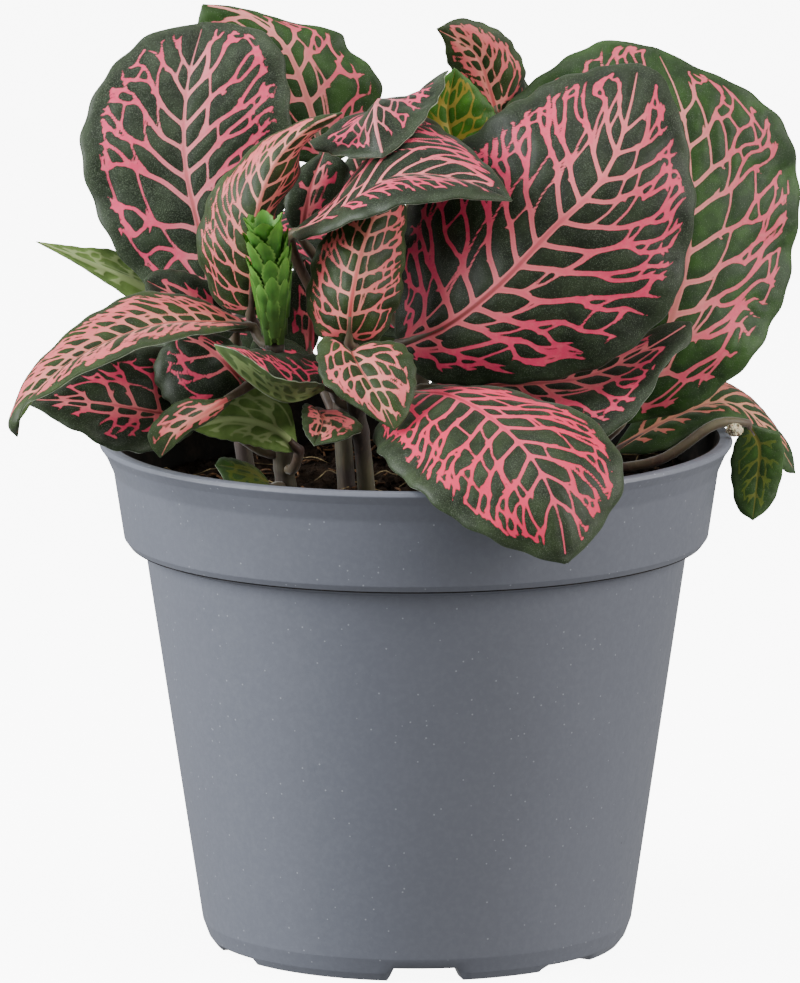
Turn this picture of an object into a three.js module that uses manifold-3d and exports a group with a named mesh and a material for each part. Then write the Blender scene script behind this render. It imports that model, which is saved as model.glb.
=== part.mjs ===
// Potted nerve plant (Fittonia) in a 12 cm nursery pot.
// Millimetres, +Z up, the pot's axis on Z, its foot on Z = 0, the front of the plant towards -Y.
import * as THREE from "three";
import { mergeVertices } from "three/addons/utils/BufferGeometryUtils.js";
import Module from "manifold-3d";

const wasm = await Module();
wasm.setup();
const { Manifold, Mesh: SolidMesh } = wasm;

// ---- driving dimensions ----
const GAP = 0.35;                 // air between neighbouring pieces
const POT_HEIGHT = 97;
const RIM_RADIUS = 60;            // outside of the flared lip
const RIM_INSIDE = 57;
const LIP_HEIGHT = 96;            // widest part of the lip
const COLLAR_RADIUS = 57.3;       // top of the collar, under the lip
const COLLAR_TOP = 91;
const COLLAR_FOOT = 55.4;         // radius of the collar above its rounded lower edge
const STEP_HEIGHT = 77;           // lower edge of the collar
const BODY_TOP = 51.4;            // radius of the tapered body under the step
const BODY_FOOT = 40.9;           // and just above the rounded foot
const WALL = 1.2;
const FOOT_RADIUS = 38.6;
const FOOT_WIDTH = 4.8;           // radial width of the standing ring
const PLATE_HEIGHT = 3.3;         // underside of the base plate, inside the standing ring
const NOTCH_HEIGHT = 2.7;         // of the notch at the front
const SIDE_NOTCH_HEIGHT = 1.2;    // and of the others
const NOTCH_WIDTH = 12.6;
const NOTCH_ANGLES = [-88, -43, -152, 28, 92, 148];   // degrees from +X
const DRAIN_RADIUS = 4;
const DRAIN_CIRCLE = 27;
const POT_SIDES = 44;
const SOIL_LEVEL = 87.5;
const SOIL_SLOPE = 1.6;           // the soil is this much higher at the right than in the middle
const SOIL_BUMP = 0.9;
const STEM_DEPTH = 14;            // how far a stem stands in its hole
const STEM_TAPER = 0.2;           // part of its radius that a stem loses towards its tip
const BLADE = 0.7;                // thickness of a leaf
const PETIOLE_RADIUS = 1.0;
const PETIOLE_SIDES = 5;
const PETIOLE_INSERT = 0.09;      // how far along the midrib a leaf stalk runs under the blade
const LOBE_DEPTH = 0.35;          // scallops of a leaf's margin
const BRACT_ROWS = 10;
const LUMP_FLATNESS = 0.8;
const FINEST = 0.02;              // slivers thinner than this, left where pieces are fused, are merged away

// ---- small helpers ----
const point = (p) => new THREE.Vector3(...p);

function seeded(seed) {
  let state = seed;
  return () => {
    state = (state * 1664525 + 1013904223) % 4294967296;
    return state / 4294967296;
  };
}

function curveThrough(points) {
  return new THREE.CatmullRomCurve3(points.map(point), false, "catmullrom", 0.5);
}

function solidFrom(vertices, triangles) {
  const solid = new Manifold(new SolidMesh({
    numProp: 3,
    vertProperties: new Float32Array(vertices.flat()),
    triVerts: new Uint32Array(triangles.flat()),
  }));
  if (solid.volume() > 0) return solid;
  return solidFrom(vertices, triangles.map(([a, b, c]) => [a, c, b]));
}

function solidFromGeometry(geometry) {
  const bare = new THREE.BufferGeometry();
  bare.setAttribute("position", geometry.getAttribute("position"));
  if (geometry.index) bare.setIndex(geometry.index);
  const merged = mergeVertices(bare, 1e-4);
  const position = merged.getAttribute("position");
  const index = merged.getIndex().array;
  const vertices = [];
  const triangles = [];
  for (let i = 0; i < position.count; i += 1) {
    vertices.push([position.getX(i), position.getY(i), position.getZ(i)]);
  }
  for (let i = 0; i < index.length; i += 3) {
    const [a, b, c] = index.slice(i, i + 3);
    if (a !== b && b !== c && a !== c) triangles.push([a, b, c]);
  }
  return solidFrom(vertices, triangles);
}

function geometryFrom(solid) {
  const mesh = solid.getMesh();
  const geometry = new THREE.BufferGeometry();
  geometry.setAttribute("position", new THREE.BufferAttribute(new Float32Array(mesh.vertProperties), 3));
  geometry.setIndex(new THREE.BufferAttribute(new Uint32Array(mesh.triVerts), 1));
  geometry.computeVertexNormals();
  return geometry;
}

function tube(points, radius, sides, rings, endRadius = radius) {
  const curve = curveThrough(points);
  const frames = curve.computeFrenetFrames(rings, false);
  const vertices = [];
  const triangles = [];
  for (let i = 0; i <= rings; i += 1) {
    const centre = curve.getPointAt(i / rings);
    const r = radius + (endRadius - radius) * (i / rings);
    for (let k = 0; k < sides; k += 1) {
      const angle = (2 * Math.PI * k) / sides;
      const out = frames.normals[i].clone().multiplyScalar(r * Math.cos(angle));
      out.addScaledVector(frames.binormals[i], r * Math.sin(angle));
      vertices.push(centre.clone().add(out).toArray());
    }
  }
  for (let i = 0; i < rings; i += 1) {
    for (let k = 0; k < sides; k += 1) {
      const a = i * sides + k;
      const b = i * sides + ((k + 1) % sides);
      triangles.push([a, b, b + sides], [a, b + sides, a + sides]);
    }
  }
  const last = rings * sides;
  for (let k = 1; k < sides - 1; k += 1) {
    triangles.push([0, k + 1, k], [last, last + k, last + k + 1]);
  }
  return solidFrom(vertices, triangles);
}

// ---- colours ----
const colours = {
  pot: { color: 0x6b7078, roughness: 0.55 },
  soil: { color: 0x2a211b, roughness: 0.95 },
  perlite: { color: 0xc9bfa6, roughness: 0.9 },
  stem: { color: 0x5f4a34, roughness: 0.6 },
  old: { color: 0x5e4038, roughness: 0.5 },
  young: { color: 0x5c6a3a, roughness: 0.5 },
  under: { color: 0x8aa463, roughness: 0.6 },
  spike: { color: 0x5f9a34, roughness: 0.6 },
};

const plant = new THREE.Group();

function add(name, solid, colour) {
  const material = new THREE.MeshStandardMaterial({ ...colours[colour], metalness: 0 });
  const mesh = new THREE.Mesh(geometryFrom(solid), material);
  mesh.name = name;
  plant.add(mesh);
}

// ---- nursery pot ----
function pot() {
  const floor = PLATE_HEIGHT + WALL;
  const outline = [
    [0, floor],
    [0, PLATE_HEIGHT],
    [FOOT_RADIUS - FOOT_WIDTH - 0.6, PLATE_HEIGHT],
    [FOOT_RADIUS - FOOT_WIDTH, 0],
    [FOOT_RADIUS, 0],
    [BODY_FOOT - 1.1, 1.6],
    [BODY_FOOT, 4.6],
    [BODY_TOP, STEP_HEIGHT - 1],
    [COLLAR_FOOT - 1, STEP_HEIGHT],
    [COLLAR_FOOT, STEP_HEIGHT + 1.4],
    [COLLAR_RADIUS, COLLAR_TOP],
    [RIM_RADIUS - 0.6, LIP_HEIGHT - 1.4],
    [RIM_RADIUS, LIP_HEIGHT],
    [RIM_RADIUS - 0.7, POT_HEIGHT - 0.3],
    [RIM_RADIUS - 1.6, POT_HEIGHT],
    [RIM_INSIDE, POT_HEIGHT - 0.6],
    [COLLAR_RADIUS - WALL - 0.4, COLLAR_TOP],
    [COLLAR_FOOT - WALL, STEP_HEIGHT + 3],
    [BODY_TOP - WALL, STEP_HEIGHT],
    [BODY_FOOT - WALL - 0.7, floor + 1.5],
    [BODY_FOOT - WALL - 2.9, floor],
    [0, floor],
  ].map(([r, z]) => new THREE.Vector2(r, z));
  let solid = solidFromGeometry(new THREE.LatheGeometry(outline, POT_SIDES).rotateX(Math.PI / 2));
  for (const [order, angle] of NOTCH_ANGLES.entries()) {
    const height = order === 0 ? NOTCH_HEIGHT : SIDE_NOTCH_HEIGHT;
    const notch = Manifold.cube([4 * FOOT_WIDTH, NOTCH_WIDTH, 2 * height], true);
    const hole = Manifold.cylinder(4 * floor, DRAIN_RADIUS, DRAIN_RADIUS, 16, true);
    const cut = notch.translate([FOOT_RADIUS, 0, 0]).add(hole.translate([DRAIN_CIRCLE, 0, 0]));
    solid = solid.subtract(cut.rotate([0, 0, angle]));
  }
  return solid;
}

// ---- soil ----
function soilHeight(x, y) {
  const reach = Math.hypot(x, y) / RIM_INSIDE;
  const bumps = Math.sin(0.31 * x + 0.6) * Math.cos(0.27 * y) + 0.6 * Math.sin(0.57 * x - 0.41 * y);
  const dip = 3 * Math.exp(-((x + 24) ** 2 + (y + 36) ** 2) / 260);
  return SOIL_LEVEL + SOIL_SLOPE * (x / RIM_INSIDE) + SOIL_BUMP * bumps * (1 - 0.5 * reach ** 4) - dip;
}

function soil() {
  const rings = 6;
  const sides = 30;
  const top = COLLAR_FOOT - WALL;                     // the surface ends just short of the wall
  const floor = PLATE_HEIGHT + WALL + GAP;
  const vertices = [[0, 0, soilHeight(0, 0)]];
  for (let i = 1; i <= rings; i += 1) {
    for (let k = 0; k < sides; k += 1) {
      const angle = (2 * Math.PI * k) / sides;
      const x = (top * i / rings) * Math.cos(angle);
      const y = (top * i / rings) * Math.sin(angle);
      vertices.push([x, y, soilHeight(x, y)]);
    }
  }
  const step = [BODY_TOP - WALL - 0.6, STEP_HEIGHT - 0.6];
  const shoulders = [step, [BODY_FOOT - WALL - 2.9, floor]];
  for (const [r, z] of shoulders) {
    for (let k = 0; k < sides; k += 1) {
      const angle = (2 * Math.PI * k) / sides;
      vertices.push([r * Math.cos(angle), r * Math.sin(angle), z]);
    }
  }
  vertices.push([0, 0, floor]);
  const triangles = [];
  for (let k = 0; k < sides; k += 1) {
    const next = (k + 1) % sides;
    triangles.push([0, 1 + k, 1 + next]);
    for (let i = 0; i < rings + 1; i += 1) {
      const a = 1 + i * sides + k;
      const b = 1 + i * sides + next;
      triangles.push([a, a + sides, b + sides], [a, b + sides, b]);
    }
    const bottom = 1 + (rings + 1) * sides;
    triangles.push([vertices.length - 1, bottom + next, bottom + k]);
  }
  return solidFrom(vertices, triangles);
}

// ---- stems: each curve starts under the soil and ends at the tip of the shoot ----
const STEMS = {
  stem_spike: {
    radius: 2.0,
    path: [[-24, -16, 84], [-25, -17, 96], [-26, -21, 110], [-26.4, -25, 119.6]],
  },
  stem_left: { radius: 1.8, path: [[-31, -3, 84], [-33, -4, 98], [-34, -3, 110], [-34.5, -1, 116]] },
  stem_center: {
    radius: 1.8,
    path: [[-9, -18, 84], [-10, -21, 98], [-11.5, -26, 109], [-12.4, -30.5, 115.5]],
  },
  stem_inner: { radius: 1.8, path: [[-13, -2, 84], [-14, -2, 104], [-13, 0, 124], [-8, 3, 141]] },
  stem_right: { radius: 2.0, path: [[6, -5, 84], [4, -7, 94], [0, -10, 103]] },
  stem_back_right: { radius: 2.0, path: [[24, 6, 84], [27, 5, 91], [31, 4, 96]] },
  stem_rear: { radius: 2.0, path: [[2, 13, 84], [1, 13, 100], [1, 13, 118], [4, 14, 127]] },
};

// Where a stem passes a height, with its direction and radius there.
function stemPoint(name, height) {
  const curve = curveThrough(STEMS[name].path);
  let low = 0;
  let high = 1;
  for (let i = 0; i < 30; i += 1) {
    const middle = (low + high) / 2;
    if (curve.getPointAt(middle).z < height) low = middle;
    else high = middle;
  }
  const radius = STEMS[name].radius * (1 - STEM_TAPER * low);
  return { place: curve.getPointAt(low), tangent: curve.getTangentAt(low), radius };
}

function stem({ radius, path }, extra = 0) {
  const [x, y, z] = path[0];
  const foot = [x, y, z + 3 - STEM_DEPTH - extra];
  return tube([foot, ...path], radius + extra, 8, 12, radius * (1 - STEM_TAPER) + extra);
}

// ---- leaves ----
// A blade hangs between three curves that run from its base to its tip: the midrib and the margins at
// its left and right, seen from above with the tip away. Each half is puffed up between rib and margin.
function bladePoints(leaf, along, across) {
  const ends = [leaf.rib[0], leaf.rib.at(-1)];
  const rib = curveThrough(leaf.rib).getSpacedPoints(along);
  const sides = [
    { sign: -1, margin: leaf.left, puff: leaf.puff[0] },
    { sign: 1, margin: leaf.right, puff: leaf.puff[1] },
  ];
  const rows = rib.map(() => new Array(across + 1));
  for (const { sign, margin, puff } of sides) {
    const edge = curveThrough([ends[0], ...margin, ends[1]]).getSpacedPoints(along);
    const ups = rib.map((centre, i) => {
      const inner = Math.min(Math.max(i, 1), along - 1);
      const tangent = rib[inner + 1].clone().sub(rib[inner - 1]);
      const outward = edge[inner].clone().sub(rib[inner]).multiplyScalar(sign);
      return outward.cross(tangent).normalize();
    });
    for (let i = 0; i <= along; i += 1) {
      const chord = edge[i].clone().sub(rib[i]);
      const width = chord.length();
      const phase = 2 * Math.PI * (leaf.lobes * (i / along) + 0.3 * sign);
      const ease = Math.min(1, width / 8);
      for (let j = 0; j <= across / 2; j += 1) {
        const t = (2 * j) / across;
        const scallop = LOBE_DEPTH * t * t * ease * Math.cos(2 * phase);
        const lift = puff * width * 4 * t * (1 - t) + leaf.ripple * t * t * ease * Math.sin(phase);
        const place = rib[i].clone().addScaledVector(chord, t * (1 + scallop / Math.max(width, 1)));
        rows[i][across / 2 + sign * j] = place.addScaledVector(ups[i], lift);
      }
    }
  }
  return rows;
}

function blade(leaf, along, across) {
  const rows = bladePoints(leaf, along, across);
  const ups = rows.map((row, i) => row.map((place, j) => {
    const inner = Math.min(Math.max(i, 1), along - 1);
    const a = rows[inner][Math.min(j + 1, across)].clone().sub(rows[inner][Math.max(j - 1, 0)]);
    const b = rows[inner + 1][j].clone().sub(rows[inner - 1][j]);
    return a.cross(b).normalize();
  }));
  const vertices = [];
  const shell = (i, j, side) => {
    const up = i === 0 || i === along ? ups[i][across / 2] : ups[i][j];
    vertices.push(rows[i][j].clone().addScaledVector(up, (side * BLADE) / 2).toArray());
    return vertices.length - 1;
  };
  const index = rows.map((row, i) => row.map((place, j) => {
    const end = i === 0 || i === along;
    return end && j > 0 ? null : [shell(i, j, 1), shell(i, j, -1)];
  }));
  index[0].fill(index[0][0]);
  index[along].fill(index[along][0]);
  const triangles = [];
  const quad = (a, b, c, d) => {
    for (const [p, q, r] of [[a, b, c], [a, c, d]]) {
      if (p !== q && q !== r && p !== r) triangles.push([p, q, r]);
    }
  };
  for (let i = 0; i < along; i += 1) {
    const [here, next] = [index[i], index[i + 1]];
    for (let j = 0; j < across; j += 1) {
      quad(here[j][0], here[j + 1][0], next[j + 1][0], next[j][0]);
      quad(here[j][1], next[j][1], next[j + 1][1], here[j + 1][1]);
    }
    quad(here[0][0], next[0][0], next[0][1], here[0][1]);
    quad(here[across][0], here[across][1], next[across][1], next[across][0]);
  }
  return solidFrom(vertices, triangles);
}

function petiole(leaf) {
  const curve = curveThrough(leaf.rib);
  const { place: node, tangent, radius } = stemPoint(leaf.stem, leaf.at);
  const base = point(leaf.rib[0]);
  const from = leaf.via ? point(leaf.via.at(-1)) : base;
  const out = from.clone().sub(node).setZ(0).normalize();
  const slant = Math.abs(tangent.dot(out)) / tangent.z;
  const reach = (radius + GAP) * Math.hypot(1, slant) + PETIOLE_RADIUS * slant;
  const end = node.clone().addScaledVector(out, reach);
  const knee = node.clone().addScaledVector(out, reach + 1.6).setZ(node.z + 0.5);
  const inside = curve.getPointAt(PETIOLE_INSERT).toArray();
  const path = [inside, leaf.rib[0], ...(leaf.via ?? []), knee.toArray(), end.toArray()];
  return tube(path, PETIOLE_RADIUS * 0.8, PETIOLE_SIDES, 4, PETIOLE_RADIUS);
}

const LEAVES = {
  back_left_big: {
    rib: [[-38, -6, 124], [-40.5, -3, 136], [-43.5, 2, 149.5], [-43, 8, 163], [-40, 16, 174]],
    left: [[-47.5, -4, 124.5], [-57, -2, 134], [-63, 3, 149.5], [-61, 8, 160.5], [-52, 13, 171]],
    right: [[-29, -4, 131], [-24, 2, 144], [-23.5, 6, 156.5], [-25, 11, 168], [-30.5, 15, 173]],
    puff: [0.06, 0.06], ripple: 0.5,
    stem: "stem_left", at: 114.8, tone: "old",
  },
  top_back: {
    rib: [[-17, 15, 146.5], [-20.5, 18, 159], [-25, 21, 169], [-32.5, 23, 174.5], [-40.5, 24, 176.3]],
    left: [[-28.5, 18, 149], [-36, 21, 159.5], [-41.5, 24, 168.5]],
    right: [[-9, 20, 150.5], [-6.5, 23, 161], [-12.8, 26, 167.8], [-15, 27, 170.5], [-25, 26, 172.8],
      [-34, 25, 175.4]],
    puff: [0.05, 0.05],
    stem: "stem_inner", at: 136, via: [[-15.5, 12, 141]], tone: "old",
  },
  tall_left: {
    rib: [[-31, -14, 122], [-30.5, -20, 133.5], [-29.5, -22, 144], [-26, -21, 153], [-20, -20, 159],
      [-13.5, -20, 162]],
    left: [[-37, -11, 124.5], [-40.5, -12, 132.5], [-40, -12, 142], [-33, -14, 152], [-23, -16, 159]],
    right: [[-24.5, -12, 128], [-27, -11, 141], [-22, -11, 149.5], [-21.5, -14, 155],
      [-16.5, -17, 159.5]],
    puff: [0.1, 0.15], ripple: 0.5,
    stem: "stem_left", at: 108.5, via: [[-29.5, -8.5, 118], [-30.8, -5.5, 112]], tone: "old",
  },
  hooded_top: {
    rib: [[-3, 6, 154], [-4, 0, 160], [-7, -11, 163], [-7.5, -20, 160], [-6, -24, 154]],
    left: [[-10, -4, 159.5], [-17.5, -10, 156.5], [-19.5, -13, 154.5], [-13, -20, 153.5]],
    right: [[2, -1.5, 163.8], [6, -5, 167.7], [4, -13, 163], [-1.5, -21, 157]],
    puff: [0.12, 0.12],
    stem: "stem_inner", at: 139, via: [[-4, 6.5, 148]], tone: "old",
  },
  center_arch: {
    rib: [[-23.5, -20, 139], [-17, -24, 142], [-10, -27, 147], [-3, -28, 151], [7.5, -32, 151],
      [18, -36, 147.5]],
    left: [[-14, -14, 144.5], [-7, -6, 150.5], [0.5, -2, 158], [7.5, -14, 156], [14.5, -29, 152]],
    right: [[-21, -27, 139], [-14, -34, 142.5], [-3, -39, 147], [8, -40, 148.5]],
    puff: [0.12, 0.15],
    stem: "stem_inner", at: 114, via: [[-22.5, -17, 134], [-18, -14, 124]], tone: "old",
  },
  top_small: {
    rib: [[16, 13, 154.5], [14, 11, 162], [11, 8, 169.5], [4, 3, 174.5]],
    left: [[12, 11, 160], [6.5, 8, 166.5], [5.5, 5, 171.5]],
    right: [[20.5, 18, 159], [20.5, 15, 166], [16.5, 11, 172.5], [9, 6, 176]],
    puff: [0.08, 0.12],
    stem: "stem_rear", at: 122, via: [[12, 12, 145], [7, 10, 134]], tone: "old",
  },
  top_green: {
    rib: [[7.5, 4, 151], [6, 4, 158.5], [7.5, 3, 167]],
    left: [[3, 3, 154], [0.5, 2, 158.5], [4, 2, 164]],
    right: [[13, 5, 153], [15.5, 6, 157], [11.5, 5, 163]],
    stem: "stem_inner", at: 137, via: [[5, 5, 146], [-1, 5, 140]], tone: "young",
  },
  big_right: {
    rib: [[-4, -16, 117], [5.5, -24, 122], [15.5, -28, 130.5], [25, -28, 140.5], [35, -25, 150],
      [39.5, -18, 160], [42, -9, 169.5]],
    left: [[-3.3, -14, 127.5], [-2.6, -10, 139.5], [6, -10, 152], [18, -11, 162], [29, -10, 167.5],
      [37, -9, 169]],
    right: [[2, -20, 111.3], [17.5, -26, 111.5], [34.5, -27, 115], [47.5, -24, 125.5], [52, -20, 142],
      [51.5, -17, 151.5], [49, -14, 161.5], [46.5, -11, 167]],
    puff: [0.06, 0.06], ripple: 0.5, lobes: 7,
    stem: "stem_right", at: 102, via: [[-5.5, -13, 112]], tone: "old",
  },
  back_right_big: {
    rib: [[38.5, 0, 99], [46, -1, 113.5], [51, 2, 128.5], [52, 5, 143.5], [50.5, 10, 158],
      [45.5, 16, 169]],
    left: [[27.5, 4, 107], [21.5, 8, 123.5], [16, 10, 144.5], [17, 12, 157.5], [25.5, 14, 165],
      [35, 16, 170]],
    right: [[52, 2, 102], [63.5, 4, 111], [70.5, 12, 123.5], [73, 17, 141.5], [71, 17, 151.5],
      [65.8, 16, 158.8], [53.2, 15.5, 165.4]],
    puff: [0.05, 0.05], ripple: 0.5, lobes: 7,
    stem: "stem_back_right", at: 95.2, tone: "old",
  },
  right_fold: {
    rib: [[1, -10, 108], [16, -16, 109.5], [31, -18, 111], [42.5, -15, 115.5], [52, -10, 120.5]],
    left: [[10, -6, 111.5], [27, -8, 116], [40.5, -9, 117.5], [47.5, -9, 120]],
    right: [[15.5, -20, 103.5], [27, -28, 101], [36.5, -30, 102.5], [43, -26, 108.5],
      [47.5, -18, 114.5], [51.5, -13, 117]],
    puff: [0.06, 0.06],
    stem: "stem_right", at: 99, via: [[-2, -7, 105]], tone: "old",
  },
  front_droop: {
    rib: [[-2.5, -24, 109.5], [6.5, -40, 111.5], [15, -52, 108.5], [22, -62, 102.5], [26, -67, 94],
      [27.5, -68, 85]],
    left: [[12, -36, 112.5], [26.5, -44, 110.5], [36, -50, 105.5], [38, -56, 97], [33, -62, 89.5]],
    right: [[-7, -30, 104.5], [-7, -46, 102], [1.5, -62, 96.5], [11.5, -67, 90.5], [21.5, -68, 86.5]],
    puff: [0.08, 0.08], ripple: 0.5,
    stem: "stem_right", at: 96, via: [[-4, -18, 106]], tone: "old",
  },
  right_droop: {
    rib: [[37, 4, 93], [48.5, 9, 98.5], [59, 13, 101], [67, 18, 95], [72.5, 20, 86]],
    left: [[47.5, 20, 103], [58, 26.5, 103], [65.2, 27.5, 97.5], [70.8, 25, 91]],
    right: [[46, 2, 93.5], [53.5, 5, 97.2], [58.8, 7.5, 98.4], [63, 11.5, 95.5], [70, 17, 87.5]],
    stem: "stem_back_right", at: 91, tone: "old",
  },
  right_hang: {
    rib: [[62.8, 5, 98.4], [65.2, 8, 93.5], [64.8, 9, 86.5], [64, 7, 79.3]],
    left: [[69.2, 9, 95.5], [69.6, 10, 87.5], [67.5, 8.5, 82]],
    right: [[60.8, 6.5, 95], [59.8, 8.5, 90], [60.9, 8.5, 82]],
    ripple: 0.2, lobes: 3,
    stem: "stem_back_right", at: 89.6, via: [[56.5, 2, 98.7], [47, -1.5, 93], [38, -1.5, 91]], tone: "young",
  },
  left_arch: {
    rib: [[-30.5, -20, 121.5], [-39.5, -28, 123.5], [-49.5, -36, 124], [-60.5, -43, 120.7],
      [-68.5, -50, 116], [-73.3, -53, 109.7], [-73.8, -50, 105.8]],
    left: [[-37.5, -33, 122.5], [-47.5, -45, 122.5], [-58.5, -52, 119.5], [-67.5, -56, 115.2],
      [-72.3, -55, 112.3]],
    right: [[-34.5, -19, 123.5], [-42, -23, 127.5], [-51.5, -28, 129.2], [-61.7, -36, 125.5],
      [-71, -44, 117.5], [-75.3, -50, 109]],
    puff: [0.1, 0.12],
    stem: "stem_spike", at: 118.4, tone: "old",
  },
  left_low: {
    rib: [[-39.5, -24, 104], [-49.5, -33, 107.5], [-60.5, -37, 110], [-73.8, -39.5, 111]],
    left: [[-45, -36, 102], [-54, -42, 101.5], [-62.5, -43, 105.3], [-69.5, -41, 109]],
    right: [[-42.5, -20, 115.5], [-51.5, -25, 118.5], [-61, -31, 116.5], [-66.5, -36, 112.5]],
    puff: [0.08, 0.08], ripple: 0.5,
    stem: "stem_spike", at: 97, via: [[-34, -20, 101]], tone: "old",
  },
  folded_cup: {
    rib: [[-22, -22, 98], [-26.5, -26, 103], [-34, -29, 105.5], [-42, -31, 104]],
    left: [[-24, -24.5, 108], [-29, -25, 111], [-34.5, -26.5, 110.5], [-39.5, -28, 107.5]],
    right: [[-25.5, -25, 98.5], [-33, -29, 101], [-38.5, -31, 102.5]],
    puff: [0.08, 0.08], ripple: 0.2,
    stem: "stem_spike", at: 94, tone: "under",
  },
  curled_tip: {
    rib: [[-33, -35, 111.5], [-38.5, -42, 109.5], [-44.5, -47, 106.5], [-47.5, -48, 101.5]],
    left: [[-37.5, -39, 107.5], [-42.5, -44, 105.5], [-45, -47, 103.5]],
    right: [[-38, -40, 111], [-44, -44, 111.5], [-49, -47, 107.5], [-49.5, -48, 104.5]],
    ripple: 0.2,
    stem: "stem_spike", at: 111.8, via: [[-31, -34, 112.8], [-27.5, -29, 112.8]], tone: "young",
  },
  left_mid: {
    rib: [[-31.5, -30, 111.5], [-35.5, -32, 116.5], [-39.5, -30, 119.5], [-44, -26, 121]],
    left: [[-36, -33, 109.5], [-43, -34, 107.5], [-48, -31, 111.5], [-48.5, -28, 117]],
    right: [[-30.5, -27, 115], [-33, -26, 118.5], [-38.5, -25, 121]],
    puff: [0.08, 0.08],
    stem: "stem_spike", at: 115, via: [[-30, -27.5, 114.4]], tone: "old",
  },
  left_fold: {
    rib: [[-17, -24, 111], [-24, -35, 110], [-31.5, -41, 115.5], [-37.5, -40, 121.5]],
    left: [[-18.5, -33, 113], [-25.5, -42.5, 115.5], [-32.5, -44, 120.5]],
    right: [[-17.5, -20, 115.5], [-25.5, -26, 117.5], [-33, -34, 120]],
    puff: [0.06, 0.08], ripple: 0.2,
    stem: "stem_center", at: 107, via: [[-14.5, -22.5, 109.5]], tone: "young",
  },
  small_low: {
    rib: [[-18.5, -26, 106.5], [-17.5, -36, 105.5], [-19, -44, 103]],
    left: [[-13.5, -33, 107.5], [-10, -40, 105.5], [-14, -44, 104]],
    right: [[-21, -31, 108.5], [-21, -40, 105.5]],
    ripple: 0.2,
    stem: "stem_center", at: 102, via: [[-17, -23.5, 105]], tone: "young",
  },
  far_left: {
    rib: [[-42.5, 2, 120.5], [-53, 0, 126.5], [-61.5, -2, 130.5], [-71.5, -6, 135.5]],
    left: [[-48.5, 4, 128.5], [-56, 4, 132], [-63.5, 0, 133.5]],
    right: [[-50, -2, 121.5], [-56, -3, 125.5], [-64, -4, 131]],
    puff: [0.08, 0.08], ripple: 0.2,
    stem: "stem_left", at: 111, tone: "under",
  },
  inner_left: {
    rib: [[-21.5, -10, 136.5], [-20, -8, 144.5], [-17, -4, 152.5]],
    left: [[-24.5, -9, 141], [-23.5, -6, 147.5]],
    right: [[-15, -8, 140.5], [-12.5, -6, 149]],
    ripple: 0.2,
    stem: "stem_inner", at: 124, via: [[-18, -6, 131]], tone: "old",
  },
  inner_mid: {
    rib: [[-8, -8, 135], [-9, -3, 143], [-12, 2, 151]],
    left: [[-13.5, -6, 138.5], [-15, 0, 146]],
    right: [[-2.5, -3, 140], [-3, 3, 147.5]],
    ripple: 0.2,
    stem: "stem_inner", at: 128, tone: "old",
  },
  under_left: {
    rib: [[-34, -8, 119], [-42.5, -12, 124.5], [-51, -12, 129]],
    left: [[-36, -13, 118], [-44, -19, 121.5], [-50, -16, 126]],
    right: [[-36.5, -7, 126], [-43.5, -8, 130], [-49, -10, 130.5]],
    puff: [0.08, 0.08], ripple: 0.2,
    stem: "stem_left", at: 112, tone: "old",
  },
  center_up: {
    rib: [[-12.5, -30, 120], [-12, -33, 128.5], [-10, -30, 137.5], [-7, -24, 144.5], [-4.5, -17, 148.5]],
    left: [[-18.7, -27, 121.5], [-20.3, -26, 129], [-18, -24, 137.5], [-12.5, -20, 144.5]],
    right: [[-7, -28, 120.5], [-3, -26, 127.5], [-2, -22, 137], [-2, -17, 144]],
    puff: [0.08, 0.08], ripple: 0.4,
    stem: "stem_center", at: 112, via: [[-10, -27, 117]], tone: "young",
  },
  center_down: {
    rib: [[-12.5, -34, 119], [-10, -40, 116], [-7, -45, 112], [-4, -48, 106.5]],
    left: [[-7, -34, 121], [-1.5, -37, 120], [0, -42, 115], [-1.5, -46, 109.5]],
    right: [[-17, -33, 121.5], [-18.5, -37, 119], [-17, -43, 114.5], [-11, -46, 110.5]],
    ripple: 0.4,
    stem: "stem_center", at: 110, via: [[-15, -32.5, 117.5]], tone: "young",
  },
  behind_spike: {
    rib: [[-20, -9.5, 114], [-19.8, -9.3, 123], [-21, -10, 132.8]],
    left: [[-25.3, -9, 118], [-24.8, -9.5, 127.5]],
    right: [[-18.4, -8.8, 117], [-17.8, -9, 122], [-16.6, -9.5, 127.5]],
    ripple: 0.2,
    stem: "stem_inner", at: 107, via: [[-17.5, -6.5, 110.5]], tone: "old",
  },
  tucked_red: {
    rib: [[-18.5, -13, 113.5], [-25, -14.5, 115], [-31.5, -17, 116]],
    left: [[-22.5, -18, 114.5], [-29.5, -19.5, 115.5]],
    right: [[-23.2, -11.5, 117.2], [-29.5, -13, 118.3]],
    ripple: 0.2,
    stem: "stem_inner", at: 105, via: [[-16.5, -10, 110.5]], tone: "old",
  },
  shade_left: {
    rib: [[-27, -21.5, 91], [-31, -30, 95.5], [-37.5, -36, 98]],
    left: [[-28, -30, 91.5], [-34, -38, 93.5]],
    right: [[-30.5, -24, 95.5], [-36, -31, 98.5]],
    ripple: 0.2,
    stem: "stem_spike", at: 90.5, tone: "young",
  },
};

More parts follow.
